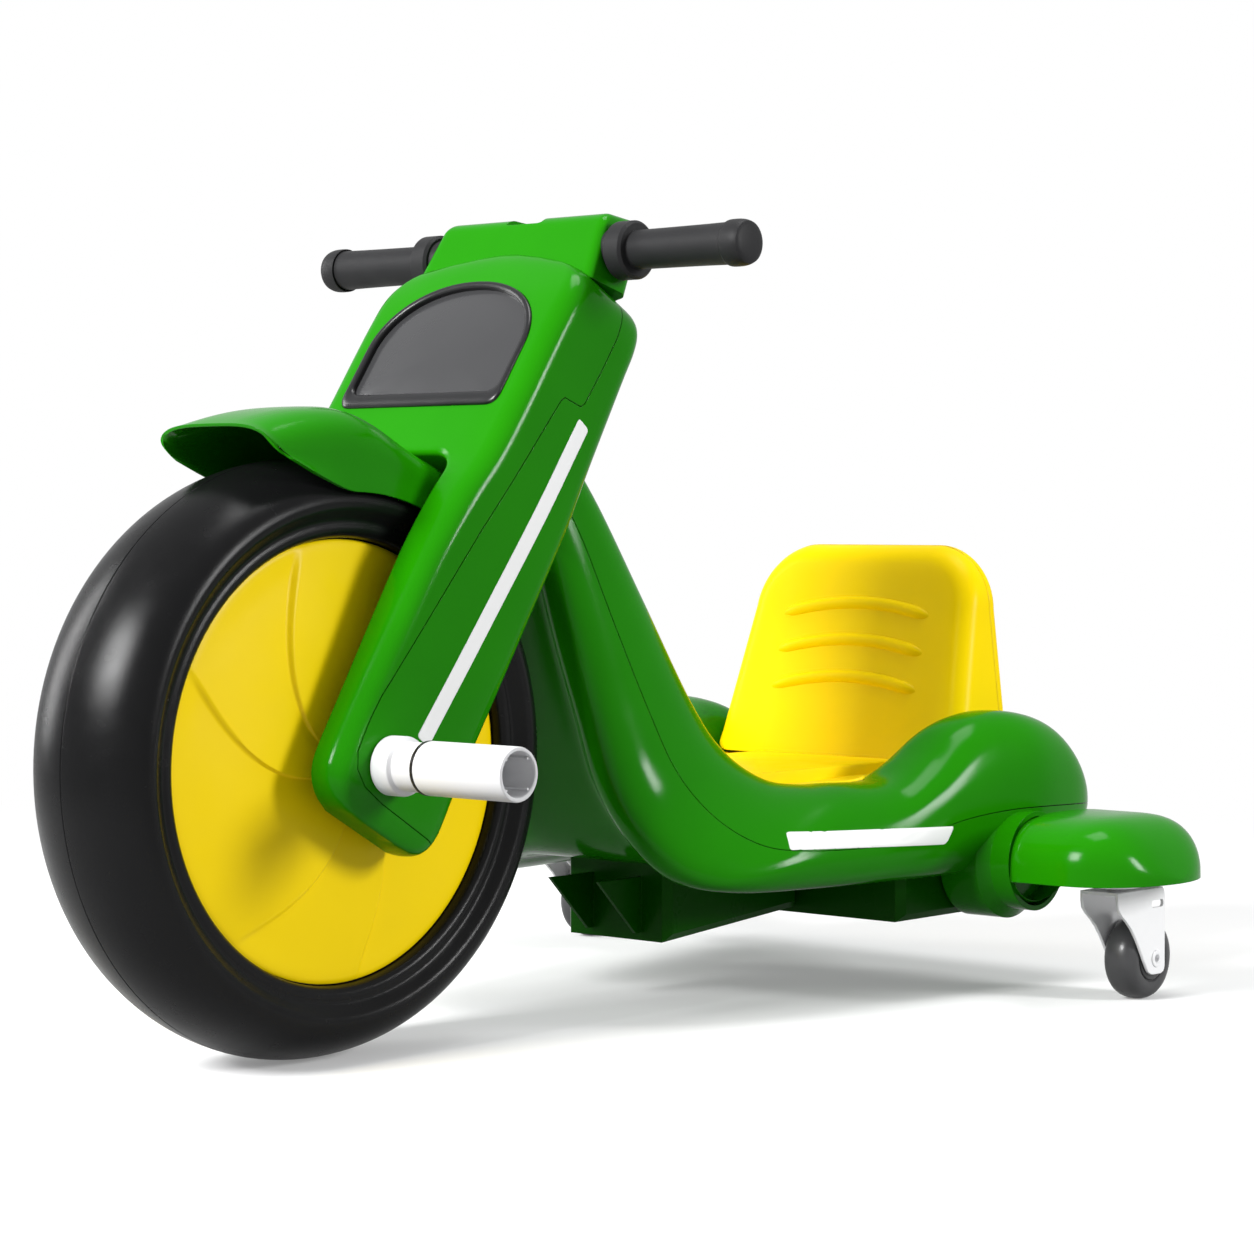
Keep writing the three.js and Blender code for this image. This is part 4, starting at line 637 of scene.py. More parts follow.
def liner_half(station, depth):
    """The upper section from the deck's middle out to where the liner ends."""
    line = upper_line(station, 0)
    crest = station[4] - 1.35 * station[5]
    kept = []
    for x, s in line:
        height = lerp(station[1], station[3], s)
        back = lerp(station[0], station[2], s)
        if x > crest:
            break
        if back > LINER_CREST_REAR and height > LINER_SIDE_TOP - LINER_THICKNESS and len(kept) > 10:
            break
        kept.append((x, s))
    return resample(kept, depth, 26)


def deck_liner():
    rings = []
    for station in catmull(STATIONS, BODY_ROWS)[LINER_ROWS]:
        depth = station_depth(station)
        line = mirrored(liner_half(station, depth))
        low = offset_line(line, depth, LINER_GAP)
        high = offset_line(line, depth, LINER_GAP + LINER_THICKNESS)
        rings.append([station_point(station, x, s) for x, s in low + list(reversed(high))])
    finish_piece(loft(rings), 40, "deck_liner")
    p = PLATFORM
    for name, front, rear, top in (
        ("deck_platform_pad", p["front"], p["step"], p["top"]),
        ("deck_seat_recess", p["step"], p["rear"], p["top"] - p["recess"]),
    ):
        rings = []
        for height, inset in ((p["base"], -1.5), (top - 2, 0), (top - 0.6, 0.6), (top, 2)):
            section = rounded_section(front + inset, rear - inset, p["half"] - inset, p["corner"], 6, 0)
            rings.append([body_point(x, y, height) for x, y in section])
        finish_piece(loft(rings), 40, None, "yellow_plastic", "frame", name)


# Seat back: a leaning block with a rounded border and three bowed ribs

SEAT = dict(
    front=583.0, rear=655.0, top=345.0, base=172.8, bottom_half=127.0, top_half=113.0,
    corner=52.0, lean_top=633.0, edge=16.0, cover=8.0, foot=7.0, seam=0.4,
)
RIB_HEIGHTS = (287, 257, 227)
RIB_HALF, RIB_BOW, RIB_SINK, RIB_RADIUS = 75.0, 10.0, 2.4, 5.8


def seat_face(height):
    share = (height - SEAT["base"]) / (SEAT["top"] - SEAT["base"])
    return lerp(SEAT["front"], SEAT["lean_top"], share)


def seat_contour(inset):
    """The seat's outline in (x, z), drawn in from its edge."""
    low, foot = SEAT["base"], SEAT["foot"]
    half_low, half_top = SEAT["bottom_half"] - inset, SEAT["top_half"] - inset
    spring = SEAT["top"] - SEAT["corner"]
    slope = (half_low - half_top) / (spring - low)
    points = arc(half_low - foot, low + foot, foot, -1, 6)
    for i in range(1, 13):
        z = lerp(low + foot, spring, i / 13)
        points.append((half_low - slope * (z - low), z))
    points += arc(SEAT["top_half"] - SEAT["corner"], spring, SEAT["corner"] - inset, 0, 16)
    return points + [(-x, z) for x, z in reversed(points)]


def seat_back():
    edge, rear = SEAT["edge"], SEAT["rear"]
    split = rear - SEAT["cover"]
    seam = split - SEAT["seam"]
    rings = [[(x, seat_face(z), z) for x, z in seat_contour(inset)] for inset in (36, 28, 21)]
    for inset, depth in rounding(edge, 8):
        rings.append([(x, seat_face(z) + depth, z) for x, z in seat_contour(inset)])
    for share in (0.35, 0.7, 1.0):
        rings.append([(x, min(lerp(seat_face(z) + edge, seam, share), seam), z) for x, z in seat_contour(0)])
    front = loft([[body_point(*p) for p in r] for r in rings])
    finish_piece(front, 40, "seat_front_shell", "seat_yellow")
    rings = [
        [body_point(x, y, z) for x, z in seat_contour(inset)]
        for y, inset in (
            (split + SEAT["seam"], 0.5), (split + 1.2, 0), (rear - 3, 0), (rear - 1, 0.8), (rear, 2.6))
    ]
    finish_piece(loft(rings), 40, "seat_rear_shell", "seat_yellow")
    for i, height in enumerate(RIB_HEIGHTS):
        points = []
        for k in range(33):
            across = 2 * k / 32 - 1
            z = height + RIB_BOW * (1 - across * across)
            points.append(body_point(RIB_HALF * across, seat_face(z) + RIB_SINK, z))
        rib = tube(points, RIB_RADIUS * MM, 20)
        finish_piece(rib, 50, None, "seat_yellow", "frame", f"seat_rib_{i + 1}")


# Fork and console: two mouldings that meet at a parting line. Rows are height along the
# steering axis, front reach, rear reach and half width, in mm from the axis.

FORK_ROWS = [
    (-352, 62, 2, 84.2), (-350.6, 70, 10, 86), (-346.5, 79, 16.5, 88), (-339.5, 86.5, 21, 89.4),
    (-330, 90.8, 23.4, 90), (-316, 92, 24, 90),
    (-285, 91.5, 24, 90), (-221, 90.6, 24, 93.4), (-165, 89, 24, 96), (-120, 83.7, 24, 98),
    (-85, 76, 24, 99), (-45, 71, 22.8, 99), (5, 67, 22.6, 99), (32, 64.5, 22.6, 99),
    (54, 61.5, 23, 98.6), (69, 57.5, 22.5, 95), (79.5, 53.5, 20, 86), (86, 49.5, 14, 71), (89.5, 46, 5, 50),
]
FORK_RADIUS = 15
FORK_WALL = 4
FORK_CROWN = 11
FORK_REACH = 150
GAP_HALF, GAP_TOP, GAP_CORNER, GAP_LIP, GAP_OVERRUN = 62, -85, 20, 5, 30
HEAD_MOUTH, HEAD_MOUTH_HALF = [(0, -81), (0, 8), (70, 8), (70, -81)], 80
FORK_SEAM = [
    (64, -340), (-42, -336), (-62, -333), (-74, -326), (-79.5, -315), (-79.5, -290), (-78.5, -273.5),
    (-57, -135), (-34.5, -19), (-32, -15), (-15, -12), (-12.5, -8), (-9, 20), (-6.5, 49), (-6, 140),
    (-132, 140), (-132, -392), (64, -392),
]
AXLE_BACK, AXLE_UP, AXLE_BORE = -48, -310, 6.3

# White strips: corners in (back, up) on the legs and in (y, z) on the body's side

LEG_STRIP = [(-35.6, -282), (-12.3, -20.2), (0.2, -22.4), (-22.6, -284)]
SIDE_STRIP = [(345, 124.5), (490, 120), (497.5, 133.5), (351, 137)]
STRIP_CORNER, STRIP_LIFT, STRIP_EDGE = 2.4, 0.4, 0.25


def fork_block(inset):
    """The fork and console as one solid, or drawn in by a wall for its hollow."""
    rings = []
    for up, front, rear, half in catmull(FORK_ROWS, 110):
        up = min(max(up, FORK_ROWS[0][0] + inset), FORK_ROWS[-1][0] - inset)
        section = rounded_section(inset - front, rear - inset, half - inset, FORK_RADIUS - inset, 6, 5)
        crown = FORK_CROWN * smoothstep(up, 50, 95)
        rings.append([(x, y, up + crown * (1 - (x / half) ** 2)) for x, y in section])
    for end in (0, -1):
        ring = rings[end]
        centre = [sum(p[k] for p in ring) / len(ring) for k in range(3)]
        top = max(p[2] for p in ring) if end else centre[2]
        for share in (0.75, 0.45, 0.1):
            small = [
                (lerp(centre[0], x, share), lerp(centre[1], y, share), lerp(top, z, share ** 1.5))
                for x, y, z in ring
            ]
            rings.append(small) if end else rings.insert(0, small)
    return loft([[steering_point(*p) for p in ring] for ring in rings])


FORK_LINE = np.array(catmull(FORK_ROWS, 220))


def front_of(up):
    return -float(np.interp(up, FORK_LINE[:, 0], FORK_LINE[:, 1]))


def rear_of(up):
    return float(np.interp(up, FORK_LINE[:, 0], FORK_LINE[:, 2]))


def half_of(up):
    return float(np.interp(up, FORK_LINE[:, 0], FORK_LINE[:, 3]))


def gap_contour(grow):
    """The gap's outline in (x, up), with close points where the legs' feet curve."""
    half, top, corner = GAP_HALF + grow, GAP_TOP + grow, GAP_CORNER + grow / 2
    side = [(half, -400)] + [(half, -356 + 2.4 * i) for i in range(20)]
    side += [(half, lerp(-306, top - corner, i / 20)) for i in range(20)]
    right = side + arc(half - corner, top - corner, corner, 0, 8)
    return right + [(-x, up) for x, up in reversed(right)]


def gap_block(grow, lip):
    """The wheel's gap between the legs, flared to a rounded lip at its front and rear edges."""
    layers = [(grow + lip, -GAP_OVERRUN)]
    if lip:
        layers += [(grow + out, deep) for out, deep in rounding(lip, 5)]
    rings = []
    for edge_of, ordered, sense in ((front_of, layers, 1), (rear_of, layers[::-1], -1)):
        for out, depth in ordered:
            rings.append([steering_point(x, edge_of(up) + sense * depth, up) for x, up in gap_contour(out)])
    return loft(rings)


def prism(points, half):
    """A solid of an outline in (back, up), as wide as twice the half width."""
    return loft([[steering_point(x, back, up) for back, up in points] for x in (-half, half)])


def grown(points, distance):
    """An outline moved outwards along its corners."""
    pairs = list(zip([points[-1]] + points[:-1], points))
    sign = math.copysign(1, sum(a[0] * b[1] - b[0] * a[1] for a, b in pairs))
    result = []
    for i, point in enumerate(points):
        before = Vector(point) - Vector(points[i - 1])
        after = Vector(points[(i + 1) % len(points)]) - Vector(point)
        normals = [Vector((v.y, -v.x)).normalized() * sign for v in (before, after)]
        mitre = normals[0] + normals[1]
        mitre *= distance / max(mitre.dot(normals[0]), 0.3)
        result.append((point[0] + mitre.x, point[1] + mitre.y))
    return result


def rod(radius, reach):
    """The profile of a cylinder about the origin."""
    return [(0.01, -reach), (radius, -reach), (radius, reach), (0.01, reach)]


def steering_lathe(profile, back, up):
    """A profile turned about a line across the steering axis."""
    obj = lathe(profile, (0, 0, 0), steps=48)
    matrix = Matrix.Translation(steering_point(0, back, up)) @ Matrix.Rotation(-STEERING_RAKE, 4, "X")
    obj.data.transform(matrix)
    return obj


def fork_shells():
    shell = fork_block(0)
    hollow = fork_block(FORK_WALL)
    cut(hollow, gap_block(FORK_WALL, 0))
    cut(shell, gap_block(0, GAP_LIP))
    cut(shell, hollow)
    cut(shell, prism(HEAD_MOUTH, HEAD_MOUTH_HALF))
    cut(shell, window_prism(-WINDOW_GAP))
    cut(shell, steering_lathe(rod(AXLE_BORE, 140), AXLE_BACK, AXLE_UP))
    rear = new_object("rear", shell.data.copy())
    cut(shell, prism(FORK_SEAM, FORK_REACH), "INTERSECT")
    cut(rear, prism(grown(FORK_SEAM, SEAM_GAP), FORK_REACH))
    finish_piece(shell, 30, "fork_front_shell")
    finish_piece(rear, 30, "fork_rear_shell")


def strip(name, corners, surface, body):
    """A thin white strip with rounded corners, laid on a surface. Corners are places on the
    surface in order round the strip; surface turns a place into a point and its way out."""
    low0, low1, high1, high0 = (Vector(c) for c in corners)
    length = ((low1 + high1) - (low0 + high0)).length / 2
    width = ((high0 + high1) - (low0 + low1)).length / 2
    near = [deep / length for inset, deep in rounding(STRIP_CORNER, 5)]
    middle = list(np.linspace(near[-1], 1 - near[-1], 40))[1:-1]
    rings = []
    for along in near + middle + [1 - n for n in reversed(near)]:
        from_end = min(along, 1 - along) * length
        inset = STRIP_CORNER - math.sqrt(max(STRIP_CORNER ** 2 - max(STRIP_CORNER - from_end, 0) ** 2, 0))
        ring = []
        for lift, order in ((-STRIP_LIFT, range(9)), (STRIP_LIFT, reversed(range(9)))):
            for k in order:
                across = lerp(inset / width, 1 - inset / width, k / 8)
                edge = STRIP_EDGE if k in (0, 8) and lift > 0 else 0
                place = low0.lerp(low1, along).lerp(high0.lerp(high1, along), across)
                point, away = surface(*place)
                ring.append(point + away * (lift - edge) * MM)
        rings.append(ring)
    finish_piece(loft(rings), 50, None, "white_film", body, name)


BODY_LINE = np.array(catmull(STATIONS, 400))


def body_half(y, z):
    """How far from the middle the body's side is, at a place in its side view."""
    shares = (z - BODY_LINE[:, 1]) / (BODY_LINE[:, 3] - BODY_LINE[:, 1])
    reach = BODY_LINE[:, 0] + shares * (BODY_LINE[:, 2] - BODY_LINE[:, 0])
    at = int(np.argmin(np.abs(reach - y) + 1000 * (np.abs(shares - 0.5) > 0.5)))
    outer, roll = BODY_LINE[at, 4:6]
    return outer - roll + roll * roll_edge(float(shares[at]))


def white_strips():
    for side, sign in SIDES:
        away = Vector((sign, 0, 0))
        strip(f"leg_strip_{side}", LEG_STRIP,
              lambda back, up: (steering_point(sign * half_of(up), back, up), away), "steering")
        strip(f"side_strip_{side}", SIDE_STRIP,
              lambda y, z: (body_point(sign * body_half(y, z), y, z), away), "frame")


# Window: a black frame with a rounded face, and a domed panel behind it

WINDOW_HALF, WINDOW_BOTTOM, WINDOW_TOP, WINDOW_CORNER, WINDOW_GAP = 78.0, -52.0, 58.0, 11.0, 0.3
WINDOW_LEAN = math.atan2(9, 106)
WINDOW_BACK, WINDOW_UP = -66.5, 8.0


def window_point(x, depth, rise):
    cos, sin = math.cos(WINDOW_LEAN), math.sin(WINDOW_LEAN)
    back, up = WINDOW_BACK + depth * cos + rise * sin, WINDOW_UP - depth * sin + rise * cos
    return steering_point(x, back, up)


def bezier(points, t):
    """The point at a share t of a Bezier curve with the given control points."""
    while len(points) > 1:
        points = [[lerp(a, b, t) for a, b in zip(p, q)] for p, q in zip(points, points[1:])]
    return tuple(points[0])


def window_contour(inset, lower=None):
    """The window's outline: a flat foot, tight lower corners and an arched top."""
    lower = inset if lower is None else lower
    half, bottom, top = WINDOW_HALF - inset, WINDOW_BOTTOM + lower, WINDOW_TOP - inset
    foot, spring = (half - WINDOW_CORNER, bottom), (half, bottom + WINDOW_CORNER)
    arch = [(half, 0), (half, top / 2), (half * 0.66, top), (0, top)]
    right = [(foot[0] * i / 8, bottom) for i in range(9)]
    right += [bezier([foot, (half, bottom), spring], i / 8) for i in range(1, 9)]
    right += [(half, lerp(spring[1], 0, i / 4)) for i in range(1, 5)]
    right += [bezier(arch, i / 28) for i in range(1, 29)]
    return right + [(-x, z) for x, z in reversed(right[1:-1])]


def window_prism(inset):
    """A solid of the window's outline, for the opening in the console."""
    contour = window_contour(inset)
    return loft([[window_point(x, depth, z) for x, z in contour] for depth in (-20, 20)])


def window():
    outer, inner = window_contour(0), window_contour(5.2, 11.2)
    section = [
        (0.0, 4.8), (0.0, -0.6), (0.05, -1.5), (0.2, -2.1), (0.5, -2.2), (0.78, -2.0), (0.94, -1.3),
        (1.0, -0.3), (1.0, 2.0), (0.8, 4.8),
    ]
    rings = [
        [window_point(lerp(x0, x1, t), depth, lerp(z0, z1, t)) for t, depth in section]
        for (x0, z0), (x1, z1) in zip(outer, inner)
    ]
    finish_piece(loft(rings, closed=True), 40, "window_frame")
    edge, opening = window_contour(2.8, 8.8), window_contour(5.4, 11.4)
    steps = ((4.4, edge), (2.6, edge), (2.6, opening))
    rings = [[window_point(x, depth, z) for x, z in line] for depth, line in steps]
    for i in range(1, 15):
        share = 1 - i / 14.5
        depth = 2.6 - 3.4 * (1 - share ** 2)
        rings.append([window_point(x * share, depth, (z + 5) * share - 5) for x, z in opening])
    finish_piece(loft(rings), 40, "window_panel")


# Handlebar cover: a tapered hood over the bar, with a channel across the middle of its top

POD = dict(
    half=85.0, top_half=80.0, hollow_half=48.0, front=-43.0, rear=20.0, bottom=79.0, heel=88.0,
    base=100.3, top=134.2, radius=8.5, edge=7.0, crest=-10.0, level=0.42, taper=20.0,
)
BAR_BACK, BAR_UP, BAR_HOLE = -24, 112, 12.2


def pod_section(inset, across=0):
    """Rounded section in (back, up) of the hood."""
    radius = POD["radius"] - inset * 0.5
    front, rear, top = POD["front"] + inset * 0.7, POD["rear"] - inset, POD["top"] - inset
    rear -= POD["taper"] * smoothstep(abs(across), 30, POD["half"])
    points = arc(rear - radius, top - radius, radius, 0, 8)
    points += [(lerp(rear - radius, front + radius, i / 8), top) for i in range(1, 8)]
    points += arc(front + radius, top - radius, radius, 1, 8)
    points += [(front, lerp(top - radius, POD["bottom"], i / 8)) for i in range(1, 9)]
    points += [(rear, lerp(POD["heel"], top - radius, i / 8)) for i in range(8)]
    lifted = []
    for back, up in points:
        ahead = min(back, POD["crest"]) - POD["front"]
        behind = max(back - POD["crest"], 0) / (POD["rear"] - POD["crest"])
        rise = POD["level"] * ahead * (1 - behind ** 2)
        lifted.append((back, up + rise * smoothstep(up, 104, top - 6)))
    return lifted


def handlebar_cover():
    end = [(POD["half"] - deep, inset) for inset, deep in rounding(POD["edge"], 7)]
    line = [(-x, inset) for x, inset in end] + [(x, 0) for x in np.linspace(-74, 74, 25)] + end[::-1]
    rings = []
    for x, inset in line:
        ring = []
        for back, up in pod_section(inset, x):
            rise = (up - POD["base"]) / (POD["top"] - POD["base"])
            ring.append(steering_point(x * lerp(1, POD["top_half"] / POD["half"], rise), back, up))
        rings.append(ring)
    cover = loft(rings)
    hollow = [
        (back * 0.8 - 2.3, up - 3 if up > POD["heel"] + 1 else POD["bottom"] - 19)
        for back, up in pod_section(5)
    ]
    cut(cover, prism(hollow, POD["hollow_half"]))
    cut(cover, steering_lathe(rod(BAR_HOLE, 120), BAR_BACK, BAR_UP))
    rings = []
    for deep, grow in ((-14, 1.1), (0, 1.04), (14, 1.0), (20, 0.92), (23, 0.6)):
        back, middle = POD["front"] + deep, POD["top"] + 1.5 + deep * 0.3
        rings.append([
            steering_point(x * grow, back, middle + y * 0.36 * grow)
            for x, y in rounded_section(-19, 19, 17, 4.5, 5, 5)
        ])
    cut(cover, loft(rings))
    finish_piece(cover, 34, "handlebar_cover")
    # Dark rubber rings at the grips' roots: partly the grips' rubber, partly painted shade where the collars
    # meet the cover
    for side, sign in SIDES:
        flange = [(11.3, 79), (15.2, 79), (16, 80), (17, 87.9), (11.3, 87.9)]
        root = steering_lathe([(r, sign * a) for r, a in flange][::sign], BAR_BACK, BAR_UP)
        finish_piece(root, 40, None, "grip", "steering", f"grip_root_shade_{side}")


# Mudguard: a visor whose side edge rises in a smooth curve to its mouth

GUARD_RADIUS, GUARD_REAR_RADIUS, GUARD_HALF = 239.0, 222.0, 58.6
GUARD_WALL, GUARD_SKIRT, GUARD_NOSE = 3.0, 58.0, 0.22
GUARD_MOUTH, GUARD_MOUTH_LOW, GUARD_BLEND, GUARD_END = (math.radians(a) for a in (-19, -8, 21, 34))


def mudguard():
    """Rings from the nose to the rear, each an arch of (share of the half width, share fallen)."""
    section = [(0, 0), (0.2, 0.002), (0.4, 0.012), (0.58, 0.045), (0.72, 0.105), (0.83, 0.20), (0.9, 0.32),
               (0.935, 0.46), (0.95, 0.60), (0.965, 0.74), (0.985, 0.88), (1.0, 1.0)]
    arch = mirrored([(float(a), float(b)) for a, b in catmull(section, 40)])
    rings = []
    for i in range(49):
        share = i / 48
        reach = 0.5 + 0.5 * math.sqrt(1 - max(0, 1 - share / GUARD_NOSE) ** 2)
        lines = ([], [])
        for across, fall in arch:
            fall *= reach
            start = lerp(GUARD_MOUTH, GUARD_MOUTH_LOW, smoothstep(fall, 0.15, 1.1))
            angle = lerp(start, GUARD_END, share)
            ridge = lerp(GUARD_RADIUS, GUARD_REAR_RADIUS, smoothstep(angle, 0, GUARD_BLEND))
            depth = GUARD_SKIRT - (GUARD_RADIUS - ridge)
            lean = angle - STEERING_RAKE
            for line, thick in zip(lines, (0, GUARD_WALL)):
                roll = thick if share > 0 else thick * 0.7
                radius = ridge - roll * (1 - fall) - depth * fall
                back, up = AXLE_BACK + radius * math.sin(lean), AXLE_UP + radius * math.cos(lean)
                line.append(steering_point((GUARD_HALF - roll) * across, back, up))
        rings.append(lines[0] + lines[1][::-1])
    finish_piece(loft(rings), 50, "mudguard")


# Front wheel: tyre with a parting line and a raised bead, and covers with swirled creases

WHEEL_PLACE = (0.0, -0.246, 0.204)
TYRE_RADIUS, TYRE_HALF, TYRE_SHOULDER, TYRE_ROUND = 204.0, 55.0, 30.0, 1.85
BEAD_RADIUS, BEAD_HALF = 150.5, 40.0
COVER_BORE, COVER_EDGE, COVER_CROWN, COVER_WALL = 17.9, BEAD_RADIUS - 0.9, 9.0, 3.0
CREASES = [math.radians(a) for a in (-15, -64, -142, -187, -262, -307, -375)]
CREASE_SWIRL, CREASE_DEPTH = 0.87, 2.8


def wheel_point(along, y, z):
    return Vector((along, y, z)) * MM + Vector(WHEEL_PLACE)


def tyre():
    widest = TYRE_RADIUS - TYRE_SHOULDER
    outer = [(TYRE_RADIUS - 0.5, 0.0), (TYRE_RADIUS - 0.5, 0.25), (TYRE_RADIUS, 0.6)]
    for i in range(28, -1, -1):
        out, up = superellipse_point(math.pi / 2 * i / 29, TYRE_ROUND)
        if TYRE_HALF * out > 1.2:
            outer.append((widest + TYRE_SHOULDER * up, TYRE_HALF * out))
    side = catmull([
        (widest, TYRE_HALF), (170.5, 54.2), (167, 51.8), (164.4, 49.9), (162.3, 48.7), (160.4, 48.5),
        (158.6, 48.9), (156.6, 49.0), (154.4, 48.4), (152.0, 46.5), (150.8, 43.6), (BEAD_RADIUS, 40.5),
    ], 56)
    outer += [(float(a), float(b)) for a, b in side][1:]
    inner = [(BEAD_RADIUS, 36.6), (147.6, 36.6), (147.6, 27), (155, 31.5), (widest, 50),
             (widest + 16, 44), (TYRE_RADIUS - 6, 20), (TYRE_RADIUS - 5.2, 0)]
    profile = both_ways(outer + inner)
    finish_piece(lathe(profile, WHEEL_PLACE, steps=160), 40, "front_tyre")


def wheel_cover(side, sign):
    """A domed cover whose face falls away from each swirled crease to the next one."""
    rings = []
    for start, following in zip(CREASES, CREASES[1:]):
        steps = max(int(abs(following - start) / math.radians(0.8)), 12)
        for k in range(steps):
            ramp = k / steps
            wave = (ramp - 1) if ramp < 0.965 else -0.035 - 0.965 * smoothstep(ramp, 0.965, 1)
            if ramp < 0.02:
                wave = -1
            face, back = [], []
            for share in list(np.linspace(0, 0.9, 22)) + [0.94, 0.97, 0.985, 0.995, 1.0]:
                radius = lerp(COVER_BORE, COVER_EDGE, share)
                angle = lerp(start, following, ramp) - CREASE_SWIRL * (1 - share) ** 1.3
                fade = min(1, share / 0.17, (1 - share) / 0.12)
                crown = COVER_CROWN * (1 - (radius / COVER_EDGE) ** 2)
                roll = 1.2 * max(0, (share - 0.97) / 0.03) ** 2
                along = BEAD_HALF + crown + CREASE_DEPTH * wave * fade - roll
                place = (radius * math.sin(angle), radius * math.cos(angle))
                face.append(wheel_point(sign * along, *place))
                back.append(wheel_point(sign * (along - COVER_WALL + roll), *place))
            rings.append(face + back[::-1])
    finish_piece(loft(rings, closed=True), 50, f"wheel_cover_{side}")


def peg(side, sign):
    """A boss and neck on the leg, then a turning barrel with a ribbed hollow end."""
    core = [(6.3, 90.6), (19.2, 90.6), (20, 91.4), (20, 104), (19.4, 105.6), (18, 106.5), (16.8, 107.2),
            (16.5, 108.6), (16.5, 123.2), (15.9, 124.6), (14.6, 125.2), (9, 125.2), (9, 176), (0.01, 176),
            (0.01, 106.3), (6.3, 106.3)]
    finish_piece(lathe(core, WHEEL_PLACE, flip=sign), 30, f"peg_core_{side}")
    # A black ring fills the gap between the neck and the barrel, as painted shade for that gap
    band = [(9.3, 125.4), (17.4, 125.4), (18.2, 125.8), (18.2, 127.1), (17.4, 127.5), (9.3, 127.5)]
    ring = lathe(band, WHEEL_PLACE, flip=sign)
    finish_piece(ring, 40, None, "trim_black", f"peg_{side}", f"peg_gap_shade_{side}")
    sleeve = [(9.3, 127.6), (16.9, 127.6), (17.7, 128.0), (18, 128.9), (18, 205.6), (17.6, 206.7),
              (16.6, 207), (15.5, 206.8), (15, 206), (15, 175.7), (9.3, 175.7)]
    barrel = lathe(sleeve, WHEEL_PLACE, flip=sign)
    rib = ((15.6, 0.9), (13.6, 0.75), (13.1, 0.3), (13.1, -0.3), (13.6, -0.75), (15.6, -0.9))
    for i in range(4):
        angle = math.pi / 2 * i + math.pi / 4
        c, s = math.cos(angle), math.sin(angle)
        turned = [(out * c - across * s, out * s + across * c) for out, across in rib]
        ends = [[wheel_point(sign * along, y, z) for y, z in turned] for along in (175.9, 205.2)]
        cut(barrel, loft(ends), "UNION")
    finish_piece(barrel, 30, f"peg_sleeve_{side}")


# Castor arms: a neck in the socket, then a wide domed trough

ARM_BACK, TUBE_UP = 572.0, 103.0
ARM_ROOT, ARM_MOUTH, ARM_FLAT, ARM_PIN, ARM_END = 196.0, 211.0, 251.0, 281.0, 340.0
ARM_NECK, ARM_HALF, ARM_LOW, ARM_TOP, ARM_OPEN, ARM_WALL = 33.0, 75.0, 95.0, 144.0, 40.0, 4.0


def arm_ring(x, inset, sign):
    """The arm's section at a distance from the middle: round in the socket, then a dome."""
    root = smoothstep(x, ARM_MOUTH - 6, ARM_FLAT - 8)
    to_end = min(max((x - ARM_PIN) / (ARM_END - ARM_PIN), 0), 1)
    round_off = max(math.sqrt(max(1 - to_end ** 2.2, 0)), 0.05)
    half = max(lerp(ARM_NECK, ARM_HALF * round_off, root) - inset, 1.0)
    low = lerp(TUBE_UP - ARM_NECK, ARM_LOW, root)
    dome = ARM_TOP - (ARM_TOP - ARM_LOW) * 0.93 * to_end ** 3.2
    top = lerp(TUBE_UP + ARM_NECK, dome, root) - inset
    bottom = low - ARM_OPEN * root + inset * (1 - root) if inset else low
    middle = lerp((top + bottom) / 2, low, root)
    ring = []
    for i in range(48):
        across, rise = superellipse_point(2 * math.pi * i / 48, lerp(2.0, 3.0, root))
        z = middle + (top - middle if rise > 0 else middle - bottom) * rise
        ring.append(Vector((sign * x, ARM_BACK - BODY_START + half * across, z)) * MM)
    return ring


def arm_places(inset):
    end = ARM_END - inset
    places = list(np.linspace(ARM_ROOT + inset, ARM_PIN, 26))
    places += [lerp(ARM_PIN, end, math.sin(math.pi / 2 * i / 18)) for i in range(1, 19)]
    return places


def castor_arm(side, sign):
    arm = loft([arm_ring(x, 0, sign) for x in arm_places(0)])
    cut(arm, loft([arm_ring(x, ARM_WALL, sign) for x in arm_places(ARM_WALL)]))
    boss = [(5.3, ARM_LOW), (16.2, ARM_LOW), (17, ARM_LOW + 0.8), (17, ARM_TOP - 2), (5.3, ARM_TOP - 2)]
    cut(arm, lathe(boss, body_point(sign * ARM_PIN, ARM_BACK, 0), "Z", 48), "UNION")
    finish_piece(arm, 36, f"castor_arm_{side}")


# Castors: a pressed yoke of two cheeks under a top plate, and a round-shouldered wheel

CASTOR_TRAIL, CASTOR_RADIUS = 33.0, 31.75
YOKE_HALF, YOKE_WALL, YOKE_TOP, YOKE_REAR = 17.0, 2.5, 86.0, CASTOR_TRAIL + 12


def sheet(x0, x1, line, soft, place):
    """A plate of an outline in (y, z) between two places along x, with softened rims."""
    rings = []
    middle = [sum(p[k] for p in line) / len(line) for k in range(2)]
    step = math.copysign(soft, x1 - x0)
    for x, inset in ((x0, soft), (x0 + step, 0), (x1 - step, 0), (x1, soft)):
        ring = []
        for y, z in line:
            away = Vector((y - middle[0], z - middle[1])).normalized() * inset
            ring.append((place + Vector((x, y - away.x, z - away.y))) * MM)
        rings.append(ring)
    return loft(rings)


